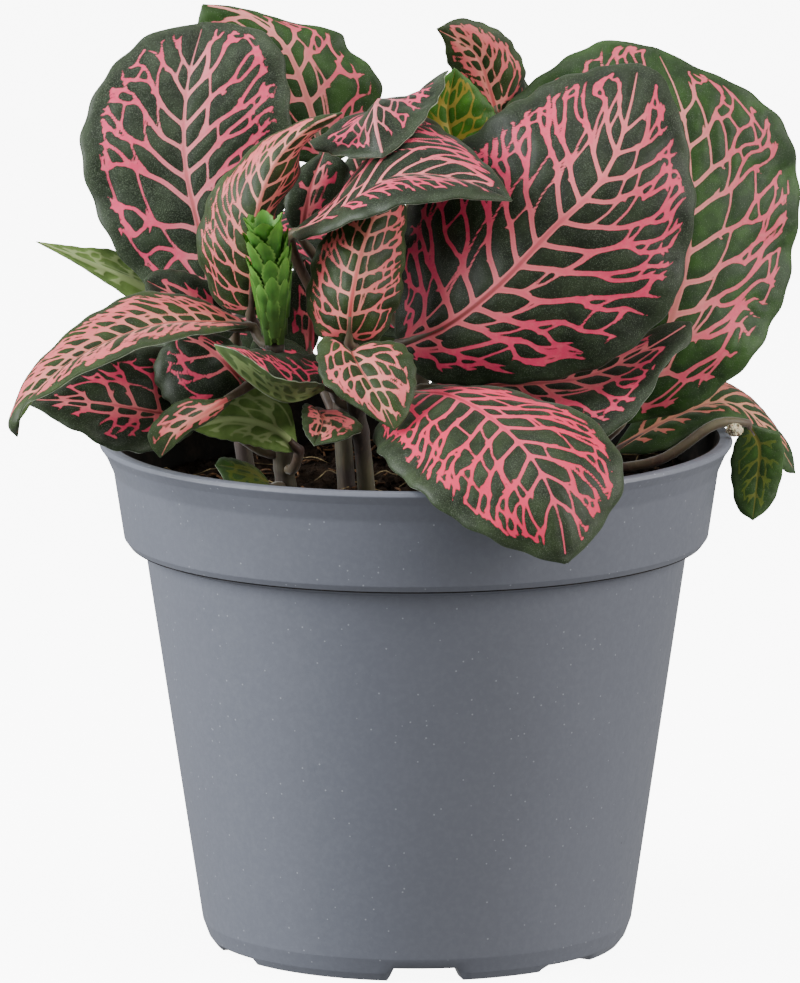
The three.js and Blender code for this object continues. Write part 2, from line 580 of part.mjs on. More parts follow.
// Leaves that grow out of the middle over the back: [radius, height] of base, crest and tip.
const REAR_LEAVES = {
  rear_over_rim: {
    azimuth: 93, base: [22, 112], crest: [48, 119], tip: [69.5, 101], half: 18,
    stem: "stem_rear", at: 107,
  },
  rear_right_low: {
    azimuth: 55, base: [28, 102], crest: [48, 108], tip: [66, 101], half: 14,
    stem: "stem_rear", at: 96,
  },
  rear_left_low: {
    azimuth: 130, base: [26, 102], crest: [48, 107], tip: [66, 101], half: 14,
    stem: "stem_rear", at: 98,
  },
  rear_high_left: {
    azimuth: 118, base: [18, 122], crest: [36, 136], tip: [52, 128], half: 15,
    stem: "stem_rear", at: 115,
  },
  rear_high_right: {
    azimuth: 60, base: [20, 124], crest: [38, 138], tip: [54, 130], half: 15,
    stem: "stem_rear", at: 118.5,
  },
  rear_upright: {
    azimuth: 66, base: [22, 134], crest: [32, 152], tip: [37, 164], half: 12, droop: 0,
    stem: "stem_rear", at: 125,
  },
  rear_side_left: {
    azimuth: 150, base: [24, 112], crest: [44, 117], tip: [60, 110], half: 10,
    stem: "stem_inner", at: 101,
  },
};

function rearLeaf({ azimuth, base, crest, tip, half, droop = 3, ...rest }) {
  const angle = THREE.MathUtils.degToRad(azimuth);
  const place = ([r, z], side = 0, drop = 0) => [
    r * Math.cos(angle) + side * Math.sin(angle),
    r * Math.sin(angle) - side * Math.cos(angle),
    z - drop,
  ];
  const between = (a, b, t, rise = 0) => [a[0] + (b[0] - a[0]) * t, a[1] + (b[1] - a[1]) * t + rise];
  const first = crest[0] - base[0];
  const second = tip[0] - crest[0];
  const rise = between(base, crest, 0.5, 0.12 * first);
  const fall = between(crest, tip, 0.5, 0.15 * second);
  fall[0] += 0.1 * second;
  const margin = (sign) => [
    place(between(base, crest, 0.25), sign * half * 0.75, droop * 0.3),
    place(between(base, crest, 0.7), sign * half, droop),
    place(between(crest, tip, 0.45), sign * half * 0.85, droop),
    place(between(crest, tip, 0.85), sign * half * 0.4, droop * 0.5),
  ];
  return {
    rib: [base, rise, crest, fall, tip].map((p) => place(p)),
    left: margin(-1),
    right: margin(1),
    ripple: 0.5,
    tone: "old",
    ...rest,
  };
}

const LARGE_LEAF = 40;            // midribs longer than this get a finer mesh

function addLeaf(name, spec) {
  const leaf = { puff: [0.1, 0.1], ripple: 0.3, lobes: 5, ...spec };
  const large = curveThrough(leaf.rib).getLength() > LARGE_LEAF;
  const solid = blade(leaf, large ? 12 : 8, 4).add(petiole(leaf));
  add(`leaf_${name}`, solid.simplify(FINEST), leaf.tone);
}

// ---- flower spike: a core with four ranks of pointed bracts ----
const SPIKE_PATH = [[-26.4, -25.4, 120.1], [-27, -27.5, 132], [-28.2, -30, 142.5]];

function spikeRadius(t) {
  return 2.6 + 1.5 * Math.sin(Math.PI * Math.min(1, 0.12 + 0.8 * t)) ** 0.8 - 0.9 * t ** 4;
}

function flowerSpike() {
  const curve = curveThrough(SPIKE_PATH);
  const random = seeded(7);
  let solid = tube(SPIKE_PATH, 2.6, 8, 6, 2.2);
  for (let row = 0; row < BRACT_ROWS; row += 1) {
    const t = (row + 1) / (BRACT_ROWS + 0.5);
    const centre = curve.getPointAt(t);
    const up = curve.getTangentAt(t);
    const across = new THREE.Vector3(1, 0, 0).cross(up).normalize();
    const along = up.clone().cross(across);
    for (let rank = 0; rank < 4; rank += 1) {
      const angle = (Math.PI / 2) * rank + (Math.PI / 4) * (row % 2) + 0.2 * (random() - 0.5);
      const at = (turn, r, rise) => centre.clone()
        .addScaledVector(along, r * Math.cos(angle + turn))
        .addScaledVector(across, r * Math.sin(angle + turn))
        .addScaledVector(up, rise)
        .toArray();
      const r = spikeRadius(t);
      const reach = r + 0.9 + 0.5 * random();
      solid = solid.add(Manifold.hull([
        at(0, 1.2, -1.4), at(-0.75, r - 0.4, 0.2), at(0.75, r - 0.4, 0.2),
        at(0, r + 0.5, 0.4), at(0, 1.2, 2.2), at(0, reach, 4.2),
      ]));
    }
  }
  return solid.simplify(FINEST);
}

// ---- small pieces ----
// A rounded crumb, a little flattened, centred at x, y, z.
function lump(x, y, z, size, seed) {
  const geometry = new THREE.IcosahedronGeometry(size, 1);
  const random = seeded(seed);
  const tilt = [random() * 3, random() * 3];
  const position = geometry.getAttribute("position");
  for (let i = 0; i < position.count; i += 1) {
    const p = new THREE.Vector3().fromBufferAttribute(position, i);
    const squeeze = 1 + 0.16 * Math.sin(2.1 * p.x + tilt[0]) * Math.cos(1.9 * p.y + tilt[1]);
    position.setXYZ(i, x + p.x * squeeze, y + p.y * squeeze, z + LUMP_FLATNESS * p.z * squeeze);
  }
  return solidFromGeometry(geometry);
}

function onSoil(x, y, size, seed) {
  return lump(x, y, soilHeight(x, y) + 1.1 * LUMP_FLATNESS * size + GAP, size, seed);
}

function bud() {
  const [x, y, z] = STEMS.stem_center.path.at(-1);
  const outline = [[0, 0], [0.9, 0.2], [1.25, 1.1], [0.8, 2.2], [0, 3]];
  const profile = outline.map(([r, h]) => new THREE.Vector2(r, h));
  const shape = new THREE.LatheGeometry(profile, 8).rotateX(Math.PI / 2);
  return solidFromGeometry(shape.translate(x, y, z + GAP + 0.2));
}

// ---- the plant in its pot ----
add("pot", pot(), "pot");
let bed = soil();
for (const shoot of Object.values(STEMS)) {
  bed = bed.subtract(stem(shoot, GAP));
}
add("soil", bed.simplify(FINEST), "soil");
for (const [name, shoot] of Object.entries(STEMS)) {
  add(name, stem(shoot), "stem");
}
for (const [name, spec] of Object.entries(LEAVES)) {
  addLeaf(name, spec);
}
for (const [name, spec] of Object.entries(REAR_LEAVES)) {
  addLeaf(name, rearLeaf(spec));
}
add("flower_spike", flowerSpike(), "spike");
add("bud", bud(), "young");
add("perlite_on_rim", lump(60.2, -3, POT_HEIGHT + 1.6, 1.7, 3), "perlite");
add("perlite_right", onSoil(41, -31, 1.5, 5), "perlite");
add("perlite_left", onSoil(-37, -26, 1.4, 8), "perlite");

export default plant;
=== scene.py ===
"""Looks of the potted nerve plant: veined leaves, stems, flower spike, peat and nursery pot."""

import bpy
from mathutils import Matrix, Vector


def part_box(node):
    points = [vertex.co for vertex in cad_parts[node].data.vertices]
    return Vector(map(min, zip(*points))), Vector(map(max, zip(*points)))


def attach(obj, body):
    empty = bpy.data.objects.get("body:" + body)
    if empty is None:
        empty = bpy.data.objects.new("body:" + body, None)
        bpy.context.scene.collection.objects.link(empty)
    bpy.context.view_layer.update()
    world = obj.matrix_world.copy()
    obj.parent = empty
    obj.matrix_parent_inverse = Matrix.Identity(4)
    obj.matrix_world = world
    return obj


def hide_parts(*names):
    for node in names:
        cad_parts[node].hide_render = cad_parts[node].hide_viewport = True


bl_info = {
    "name": "Potted Nerve Plant",
    "version": (1, 0, 0),
    "blender": (4, 5, 0),
    "location": "View3D > Sidebar > Nerve Plant",
    "description": "Builds the leaves, soil and pot of a nerve plant round its packed solids",
    "category": "Object",
}

import math
import random

import bmesh
import bpy
import numpy as np
from bpy.props import FloatProperty, FloatVectorProperty, IntProperty, PointerProperty
from mathutils import Matrix, Vector, noise

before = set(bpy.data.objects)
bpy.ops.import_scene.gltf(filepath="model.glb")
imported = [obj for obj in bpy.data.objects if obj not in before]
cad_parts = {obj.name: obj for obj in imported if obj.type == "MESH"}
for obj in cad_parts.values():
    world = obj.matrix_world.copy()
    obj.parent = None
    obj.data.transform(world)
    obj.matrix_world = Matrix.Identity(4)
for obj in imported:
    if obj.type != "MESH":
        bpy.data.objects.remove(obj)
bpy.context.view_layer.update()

MM = 0.001
TAU = 2 * math.pi

# ---- the photograph's camera, in millimetres and degrees ----
CAMERA_DISTANCE = 2200.0
CAMERA_ELEVATION = 10.25
CAMERA_ROLL = -0.15
CAMERA_AIM = (-3.05, 0.0, 86.4)
CAMERA_LENS = 425.2
SENSOR_WIDTH = 36.0

# ---- the stage, in metres ----
FLOOR_REACH = 4.0
LAMP_AIM = (0.0, 0.0, 0.09)
LAMPS = (
    # name, place, size, the setting that holds its power, colour
    ("softbox_left", (-1.0, -0.24, 0.5), 0.8, "left_light", (0.95, 0.98, 1.0)),
    ("softbox_right", (1.0, -0.3, 0.5), 0.8, "right_light", (1.0, 0.98, 0.94)),
    ("softbox_top", (0.0, -0.35, 1.15), 0.7, "top_light", (1.0, 1.0, 1.0)),
)

# ---- the pot's section, in millimetres, as its solid has it ----
POT_HEIGHT = 97.0
RIM_RADIUS = 60.0
RIM_INSIDE = 57.0
LIP_HEIGHT = 96.0
COLLAR_RADIUS = 57.3
COLLAR_TOP = 91.0
COLLAR_FOOT = 55.4
STEP_HEIGHT = 77.0
BODY_TOP = 51.4
BODY_FOOT = 40.9
WALL = 1.2
FOOT_RADIUS = 38.6
FOOT_WIDTH = 4.8
PLATE_HEIGHT = 3.3
NOTCH_HEIGHT = 2.7
SIDE_NOTCH_HEIGHT = 1.2
NOTCH_WIDTH = 12.6
NOTCH_ANGLES = (-88, -43, -152, 28, 92, 148)    # the front notch is first
DRAIN_RADIUS = 4.0
DRAIN_CIRCLE = 27.0
DRAIN_DEPTH = 12.0
DRAIN_SIDES = 32
PLATE_TOP = PLATE_HEIGHT + WALL
PLATE_RADIUS = BODY_FOOT - WALL - 2.9
ARC_STEPS = 4             # steps in a rounded corner
MERGE = 0.001             # points closer than this are one

# ---- the bed of soil ----
SOIL_LEVEL = 87.5
SOIL_SLOPE = 1.6
SOIL_BUMP = 0.9
SOIL_EDGE = COLLAR_FOOT - WALL
SOIL_DIP = (-24, -36, 3.0, 260.0)    # place, depth and squared reach of the hollow at the front
BED_RINGS = 80
BED_STEPS = 220
SOIL_SEED = 4
GAP = 0.35

# ---- plant ----
LEAF_THICKNESS = 0.45
LEAF_STEP = 0.4           # spacing of a leaf's mesh
SMALL_LEAF = 50.0         # midribs shorter than this get the finer mesh
SMALL_STEP = 0.3
LOBE_DEPTH = 0.24
WAVE_WIDTH = 12.0         # half blades narrower than this have a calmer edge
VEIN_REACH = 3.0          # how far from a vein its distance is kept
VEIN_STEP = 0.9           # spacing of the points along a vein
WANDER = 0.36             # share of a strip by which a vein wanders
WANDER_LENGTH = 6.5
THORN_TIP = 0.03
THINNEST = 0.05           # veins of a larger half width are kept as wide as the mesh can show
PILLOW = 0.2              # height of the blade between the veins
VEIN_SINK = 0.05
PILLOW_SLOPE = 0.9
RIB_RIDGE = 0.55          # the midrib and the veins stand out below
VEIN_RIDGE = 0.12
PETIOLE_RADIUS = 1.0
PETIOLE_SIDES = 10
STEM_TAPER = 0.2
STEM_DEPTH = 14.0
STEM_SIDES = 18
STEM_POINTS = 70
STATIONS = 199            # steps at which a stem's place is looked up
NODE_SWELL = 0.14         # how much thicker a stem is where a leaf joins
NODE_LENGTH = 1.3

STEMS = {
    "stem_spike": (2.0, [[-24, -16, 84], [-25, -17, 96], [-26, -21, 110], [-26.4, -25, 119.6]]),
    "stem_left": (1.8, [[-31, -3, 84], [-33, -4, 98], [-34, -3, 110], [-34.5, -1, 116]]),
    "stem_center": (1.8, [[-9, -18, 84], [-10, -21, 98], [-11.5, -26, 109], [-12.4, -30.5, 115.5]]),
    "stem_inner": (1.8, [[-13, -2, 84], [-14, -2, 104], [-13, 0, 124], [-8, 3, 141]]),
    "stem_right": (2.0, [[6, -5, 84], [4, -7, 94], [0, -10, 103]]),
    "stem_back_right": (2.0, [[24, 6, 84], [27, 5, 91], [31, 4, 96]]),
    "stem_rear": (2.0, [[2, 13, 84], [1, 13, 100], [1, 13, 118], [4, 14, 127]]),
}

SPIKE_PATH = [[-26.4, -25.4, 120.1], [-27, -27.5, 132], [-28.2, -30, 142.5]]
SPIKE_POINTS = 60
SPIKE_SIDES = 14
SPIKE_SEED = 9
RANKS = 4                 # bracts in a row
BRACT_COLUMNS = 8
BRACT_ROWS = 14
BRACT_TOOTH = 1.22
BRACT_THICKNESS = 0.18

# Leaves in millimetres: the midrib and the margins at its left and right, looking from base to tip on the
# upper face, with the height where the stalk joins its stem and the points that the stalk runs through.
# puff is the crown of each half blade and ripple the wave of its edge.
LEAVES = {
    "back_left_big": {
        "rib": [[-38, -6, 124], [-40.5, -3, 136], [-43.5, 2, 149.5], [-43, 8, 163], [-40, 16, 174]],
        "left": [[-47.5, -4, 124.5], [-57, -2, 134], [-63, 3, 149.5], [-61, 8, 160.5], [-52, 13, 171]],
        "right": [[-29, -4, 131], [-24, 2, 144], [-23.5, 6, 156.5], [-25, 11, 168], [-30.5, 15, 173]],
        "puff": [0.06, 0.06], "ripple": 0.5,
        "stem": "stem_left", "at": 114.8, "tone": "old",
    },
    "top_back": {
        "rib": [[-17, 15, 146.5], [-20.5, 18, 159], [-25, 21, 169], [-32.5, 23, 174.5], [-40.5, 24, 176.3]],
        "left": [[-28.5, 18, 149], [-36, 21, 159.5], [-41.5, 24, 168.5]],
        "right": [[-9, 20, 150.5], [-6.5, 23, 161], [-12.8, 26, 167.8], [-15, 27, 170.5], [-25, 26, 172.8],
                [-34, 25, 175.4]],
        "puff": [0.05, 0.05],
        "stem": "stem_inner", "at": 136, "via": [[-15.5, 12, 141]], "tone": "old",
    },
    "tall_left": {
        "rib": [[-31, -14, 122], [-30.5, -20, 133.5], [-29.5, -22, 144], [-26, -21, 153], [-20, -20, 159],
                [-13.5, -20, 162]],
        "left": [[-37, -11, 124.5], [-40.5, -12, 132.5], [-40, -12, 142], [-33, -14, 152], [-23, -16, 159]],
        "right": [[-24.5, -12, 128], [-27, -11, 141], [-22, -11, 149.5], [-21.5, -14, 155],
                [-16.5, -17, 159.5]],
        "puff": [0.1, 0.15], "ripple": 0.5,
        "stem": "stem_left", "at": 108.5, "via": [[-29.5, -8.5, 118], [-30.8, -5.5, 112]], "tone": "old",
    },
    "hooded_top": {
        "rib": [[-3, 6, 154], [-4, 0, 160], [-7, -11, 163], [-7.5, -20, 160], [-6, -24, 154]],
        "left": [[-10, -4, 159.5], [-17.5, -10, 156.5], [-19.5, -13, 154.5], [-13, -20, 153.5]],
        "right": [[2, -1.5, 163.8], [6, -5, 167.7], [4, -13, 163], [-1.5, -21, 157]],
        "puff": [0.12, 0.12],
        "stem": "stem_inner", "at": 139, "via": [[-4, 6.5, 148]], "tone": "old",
    },
    "center_arch": {
        "rib": [[-23.5, -20, 139], [-17, -24, 142], [-10, -27, 147], [-3, -28, 151], [7.5, -32, 151],
                [18, -36, 147.5]],
        "left": [[-14, -14, 144.5], [-7, -6, 150.5], [0.5, -2, 158], [7.5, -14, 156], [14.5, -29, 152]],
        "right": [[-21, -27, 139], [-14, -34, 142.5], [-3, -39, 147], [8, -40, 148.5]],
        "puff": [0.12, 0.15],
        "stem": "stem_inner", "at": 114, "via": [[-22.5, -17, 134], [-18, -14, 124]], "tone": "old",
    },
    "top_small": {
        "rib": [[16, 13, 154.5], [14, 11, 162], [11, 8, 169.5], [4, 3, 174.5]],
        "left": [[12, 11, 160], [6.5, 8, 166.5], [5.5, 5, 171.5]],
        "right": [[20.5, 18, 159], [20.5, 15, 166], [16.5, 11, 172.5], [9, 6, 176]],
        "puff": [0.08, 0.12],
        "stem": "stem_rear", "at": 122, "via": [[12, 12, 145], [7, 10, 134]], "tone": "old",
    },
    "top_green": {
        "rib": [[7.5, 4, 151], [6, 4, 158.5], [7.5, 3, 167]],
        "left": [[3, 3, 154], [0.5, 2, 158.5], [4, 2, 164]],
        "right": [[13, 5, 153], [15.5, 6, 157], [11.5, 5, 163]],
        "stem": "stem_inner", "at": 137, "via": [[5, 5, 146], [-1, 5, 140]], "tone": "young",
    },
    "big_right": {
        "rib": [[-4, -16, 117], [5.5, -24, 122], [15.5, -28, 130.5], [25, -28, 140.5], [35, -25, 150],
                [39.5, -18, 160], [42, -9, 169.5]],
        "left": [[-3.3, -14, 127.5], [-2.6, -10, 139.5], [6, -10, 152], [18, -11, 162], [29, -10, 167.5],
                [37, -9, 169]],
        "right": [[2, -20, 111.3], [17.5, -26, 111.5], [34.5, -27, 115], [47.5, -24, 125.5], [52, -20, 142],
                [51.5, -17, 151.5], [49, -14, 161.5], [46.5, -11, 167]],
        "puff": [0.06, 0.06], "ripple": 0.5, "lobes": 7,
        "stem": "stem_right", "at": 102, "via": [[-5.5, -13, 112]], "tone": "old",
    },
    "back_right_big": {
        "rib": [[38.5, 0, 99], [46, -1, 113.5], [51, 2, 128.5], [52, 5, 143.5], [50.5, 10, 158],
                [45.5, 16, 169]],
        "left": [[27.5, 4, 107], [21.5, 8, 123.5], [16, 10, 144.5], [17, 12, 157.5], [25.5, 14, 165],
                [35, 16, 170]],
        "right": [[52, 2, 102], [63.5, 4, 111], [70.5, 12, 123.5], [73, 17, 141.5], [71, 17, 151.5],
                [65.8, 16, 158.8], [53.2, 15.5, 165.4]],
        "puff": [0.05, 0.05], "ripple": 0.5, "lobes": 7,
        "stem": "stem_back_right", "at": 95.2, "tone": "old",
    },
    "right_fold": {
        "rib": [[1, -10, 108], [16, -16, 109.5], [31, -18, 111], [42.5, -15, 115.5], [52, -10, 120.5]],
        "left": [[10, -6, 111.5], [27, -8, 116], [40.5, -9, 117.5], [47.5, -9, 120]],
        "right": [[15.5, -20, 103.5], [27, -28, 101], [36.5, -30, 102.5], [43, -26, 108.5],
                [47.5, -18, 114.5], [51.5, -13, 117]],
        "puff": [0.06, 0.06],
        "stem": "stem_right", "at": 99, "via": [[-2, -7, 105]], "tone": "old",
    },
    "front_droop": {
        "rib": [[-2.5, -24, 109.5], [6.5, -40, 111.5], [15, -52, 108.5], [22, -62, 102.5], [26, -67, 94],
                [27.5, -68, 85]],
        "left": [[12, -36, 112.5], [26.5, -44, 110.5], [36, -50, 105.5], [38, -56, 97], [33, -62, 89.5]],
        "right": [[-7, -30, 104.5], [-7, -46, 102], [1.5, -62, 96.5], [11.5, -67, 90.5], [21.5, -68, 86.5]],
        "puff": [0.08, 0.08], "ripple": 0.5,
        "stem": "stem_right", "at": 96, "via": [[-4, -18, 106]], "tone": "old",
    },
    "right_droop": {
        "rib": [[37, 4, 93], [48.5, 9, 98.5], [59, 13, 101], [67, 18, 95], [72.5, 20, 86]],
        "left": [[47.5, 20, 103], [58, 26.5, 103], [65.2, 27.5, 97.5], [70.8, 25, 91]],
        "right": [[46, 2, 93.5], [53.5, 5, 97.2], [58.8, 7.5, 98.4], [63, 11.5, 95.5], [70, 17, 87.5]],
        "stem": "stem_back_right", "at": 91, "tone": "old",
    },
    "right_hang": {
        "rib": [[62.8, 5, 98.4], [65.2, 8, 93.5], [64.8, 9, 86.5], [64, 7, 79.3]],
        "left": [[69.2, 9, 95.5], [69.6, 10, 87.5], [67.5, 8.5, 82]],
        "right": [[60.8, 6.5, 95], [59.8, 8.5, 90], [60.9, 8.5, 82]],
        "ripple": 0.2, "lobes": 3,
        "stem": "stem_back_right", "at": 89.6, "via": [[56.5, 2, 98.7], [47, -1.5, 93], [38, -1.5, 91]],
        "tone": "young",
    },
    "left_arch": {
        "rib": [[-30.5, -20, 121.5], [-39.5, -28, 123.5], [-49.5, -36, 124], [-60.5, -43, 120.7],
                [-68.5, -50, 116], [-73.3, -53, 109.7], [-73.8, -50, 105.8]],
        "left": [[-37.5, -33, 122.5], [-47.5, -45, 122.5], [-58.5, -52, 119.5], [-67.5, -56, 115.2],
                [-72.3, -55, 112.3]],
        "right": [[-34.5, -19, 123.5], [-42, -23, 127.5], [-51.5, -28, 129.2], [-61.7, -36, 125.5],
                [-71, -44, 117.5], [-75.3, -50, 109]],
        "puff": [0.1, 0.12],
        "stem": "stem_spike", "at": 118.4, "tone": "old",
    },
    "left_low": {
        "rib": [[-39.5, -24, 104], [-49.5, -33, 107.5], [-60.5, -37, 110], [-73.8, -39.5, 111]],
        "left": [[-45, -36, 102], [-54, -42, 101.5], [-62.5, -43, 105.3], [-69.5, -41, 109]],
        "right": [[-42.5, -20, 115.5], [-51.5, -25, 118.5], [-61, -31, 116.5], [-66.5, -36, 112.5]],
        "puff": [0.08, 0.08], "ripple": 0.5,
        "stem": "stem_spike", "at": 97, "via": [[-34, -20, 101]], "tone": "old",
    },
    "folded_cup": {
        "rib": [[-22, -22, 98], [-26.5, -26, 103], [-34, -29, 105.5], [-42, -31, 104]],
        "left": [[-24, -24.5, 108], [-29, -25, 111], [-34.5, -26.5, 110.5], [-39.5, -28, 107.5]],
        "right": [[-25.5, -25, 98.5], [-33, -29, 101], [-38.5, -31, 102.5]],
        "puff": [0.08, 0.08], "ripple": 0.2,
        "stem": "stem_spike", "at": 94, "tone": "under",
    },
    "curled_tip": {
        "rib": [[-33, -35, 111.5], [-38.5, -42, 109.5], [-44.5, -47, 106.5], [-47.5, -48, 101.5]],
        "left": [[-37.5, -39, 107.5], [-42.5, -44, 105.5], [-45, -47, 103.5]],
        "right": [[-38, -40, 111], [-44, -44, 111.5], [-49, -47, 107.5], [-49.5, -48, 104.5]],
        "ripple": 0.2,
        "stem": "stem_spike", "at": 111.8, "via": [[-31, -34, 112.8], [-27.5, -29, 112.8]], "tone": "young",
    },
    "left_mid": {
        "rib": [[-31.5, -30, 111.5], [-35.5, -32, 116.5], [-39.5, -30, 119.5], [-44, -26, 121]],
        "left": [[-36, -33, 109.5], [-43, -34, 107.5], [-48, -31, 111.5], [-48.5, -28, 117]],
        "right": [[-30.5, -27, 115], [-33, -26, 118.5], [-38.5, -25, 121]],
        "puff": [0.08, 0.08],
        "stem": "stem_spike", "at": 115, "via": [[-30, -27.5, 114.4]], "tone": "old",
    },
    "left_fold": {
        "rib": [[-17, -24, 111], [-24, -35, 110], [-31.5, -41, 115.5], [-37.5, -40, 121.5]],
        "left": [[-18.5, -33, 113], [-25.5, -42.5, 115.5], [-32.5, -44, 120.5]],
        "right": [[-17.5, -20, 115.5], [-25.5, -26, 117.5], [-33, -34, 120]],
        "puff": [0.06, 0.08], "ripple": 0.2,
        "stem": "stem_center", "at": 107, "via": [[-14.5, -22.5, 109.5]], "tone": "young",
    },
    "small_low": {
        "rib": [[-18.5, -26, 106.5], [-17.5, -36, 105.5], [-19, -44, 103]],
        "left": [[-13.5, -33, 107.5], [-10, -40, 105.5], [-14, -44, 104]],
        "right": [[-21, -31, 108.5], [-21, -40, 105.5]],
        "ripple": 0.2,
        "stem": "stem_center", "at": 102, "via": [[-17, -23.5, 105]], "tone": "young",
    },
    "far_left": {
        "rib": [[-42.5, 2, 120.5], [-53, 0, 126.5], [-61.5, -2, 130.5], [-71.5, -6, 135.5]],
        "left": [[-48.5, 4, 128.5], [-56, 4, 132], [-63.5, 0, 133.5]],
        "right": [[-50, -2, 121.5], [-56, -3, 125.5], [-64, -4, 131]],
        "puff": [0.08, 0.08], "ripple": 0.2,
        "stem": "stem_left", "at": 111, "tone": "under",
    },
    "inner_left": {
        "rib": [[-21.5, -10, 136.5], [-20, -8, 144.5], [-17, -4, 152.5]],
        "left": [[-24.5, -9, 141], [-23.5, -6, 147.5]],
        "right": [[-15, -8, 140.5], [-12.5, -6, 149]],
        "ripple": 0.2,
        "stem": "stem_inner", "at": 124, "via": [[-18, -6, 131]], "tone": "old",
    },
    "inner_mid": {
        "rib": [[-8, -8, 135], [-9, -3, 143], [-12, 2, 151]],
        "left": [[-13.5, -6, 138.5], [-15, 0, 146]],
        "right": [[-2.5, -3, 140], [-3, 3, 147.5]],
        "ripple": 0.2,
        "stem": "stem_inner", "at": 128, "tone": "old",
    },
    "under_left": {
        "rib": [[-34, -8, 119], [-42.5, -12, 124.5], [-51, -12, 129]],
        "left": [[-36, -13, 118], [-44, -19, 121.5], [-50, -16, 126]],
        "right": [[-36.5, -7, 126], [-43.5, -8, 130], [-49, -10, 130.5]],
        "puff": [0.08, 0.08], "ripple": 0.2,
        "stem": "stem_left", "at": 112, "tone": "old",
    },
    "center_up": {
        "rib": [[-12.5, -30, 120], [-12, -33, 128.5], [-10, -30, 137.5], [-7, -24, 144.5],
                [-4.5, -17, 148.5]],
        "left": [[-18.7, -27, 121.5], [-20.3, -26, 129], [-18, -24, 137.5], [-12.5, -20, 144.5]],
        "right": [[-7, -28, 120.5], [-3, -26, 127.5], [-2, -22, 137], [-2, -17, 144]],
        "puff": [0.08, 0.08], "ripple": 0.4,
        "stem": "stem_center", "at": 112, "via": [[-10, -27, 117]], "tone": "young",
    },
    "center_down": {
        "rib": [[-12.5, -34, 119], [-10, -40, 116], [-7, -45, 112], [-4, -48, 106.5]],
        "left": [[-7, -34, 121], [-1.5, -37, 120], [0, -42, 115], [-1.5, -46, 109.5]],
        "right": [[-17, -33, 121.5], [-18.5, -37, 119], [-17, -43, 114.5], [-11, -46, 110.5]],
        "ripple": 0.4,
        "stem": "stem_center", "at": 110, "via": [[-15, -32.5, 117.5]], "tone": "young",
    },
    "behind_spike": {
        "rib": [[-20, -9.5, 114], [-19.8, -9.3, 123], [-21, -10, 132.8]],
        "left": [[-25.3, -9, 118], [-24.8, -9.5, 127.5]],
        "right": [[-18.4, -8.8, 117], [-17.8, -9, 122], [-16.6, -9.5, 127.5]],
        "ripple": 0.2,
        "stem": "stem_inner", "at": 107, "via": [[-17.5, -6.5, 110.5]], "tone": "old",
    },
    "tucked_red": {
        "rib": [[-18.5, -13, 113.5], [-25, -14.5, 115], [-31.5, -17, 116]],
        "left": [[-22.5, -18, 114.5], [-29.5, -19.5, 115.5]],
        "right": [[-23.2, -11.5, 117.2], [-29.5, -13, 118.3]],
        "ripple": 0.2,
        "stem": "stem_inner", "at": 105, "via": [[-16.5, -10, 110.5]], "tone": "old",
    },
    "shade_left": {
        "rib": [[-27, -21.5, 91], [-31, -30, 95.5], [-37.5, -36, 98]],
        "left": [[-28, -30, 91.5], [-34, -38, 93.5]],
        "right": [[-30.5, -24, 95.5], [-36, -31, 98.5]],
        "ripple": 0.2,
        "stem": "stem_spike", "at": 90.5, "tone": "young",
    },}

# Leaves that grow out of the middle over the back: [radius, height] of base, crest and tip.
REAR_LEAVES = {
    "rear_over_rim": {
        "azimuth": 93, "base": [22, 112], "crest": [48, 119], "tip": [69.5, 101], "half": 18,
        "stem": "stem_rear", "at": 107,
    },
    "rear_right_low": {
        "azimuth": 55, "base": [28, 102], "crest": [48, 108], "tip": [66, 101], "half": 14,
        "stem": "stem_rear", "at": 96,
    },
    "rear_left_low": {
        "azimuth": 130, "base": [26, 102], "crest": [48, 107], "tip": [66, 101], "half": 14,
        "stem": "stem_rear", "at": 98,
    },
    "rear_high_left": {
        "azimuth": 118, "base": [18, 122], "crest": [36, 136], "tip": [52, 128], "half": 15,
        "stem": "stem_rear", "at": 115,
    },
    "rear_high_right": {
        "azimuth": 60, "base": [20, 124], "crest": [38, 138], "tip": [54, 130], "half": 15,
        "stem": "stem_rear", "at": 118.5,
    },
    "rear_upright": {
        "azimuth": 66, "base": [22, 134], "crest": [32, 152], "tip": [37, 164], "half": 12, "droop": 0,
        "stem": "stem_rear", "at": 125,
    },
    "rear_side_left": {
        "azimuth": 150, "base": [24, 112], "crest": [44, 117], "tip": [60, 110], "half": 10,
        "stem": "stem_inner", "at": 101,
    },}

# How the veins of a leaf run; lengths are in millimetres and widths are halves. Side veins leave the
# midrib at each spacing between the shares first and last of its length. They rise forward by rise, and
# by arch more towards the margin, and fork at the share fork of the half blade. inner, links, split and
# thorns are the numbers to expect of cross links between the trunks, of those between the arms, of second
# forks and of thorns. band is the plain margin, and web is how sharp the corners between veins are.
OLD_HABIT = {
    "spacing": 6.0, "rib": 0.75, "vein": 0.48, "arm": 0.38, "twig": 0.2, "rise": 0.75, "arch": 0.0,
    "fork": 0.42, "split": 0.12, "inner": 1.4, "links": 1.4, "thorns": 0.8, "band": 2.6, "first": 0.03,
    "last": 0.86, "web": 5.5,
}
YOUNG_HABIT = {
    **OLD_HABIT, "spacing": 4.6, "arch": 0.3, "rib": 0.5, "vein": 0.32, "arm": 0.25, "twig": 0.15,
    "fork": 0.35, "split": 0.2, "inner": 1.3, "links": 1.8, "thorns": 0.35, "band": 1.1, "web": 7.0,
}
UNDER_HABIT = {
    **OLD_HABIT, "spacing": 7.0, "rib": 0.6, "vein": 0.3, "arm": 0.22, "twig": 0.14, "split": 0.2,
    "inner": 0.8, "links": 1.0, "thorns": 0.3, "band": 0.8, "web": 6.0,
}
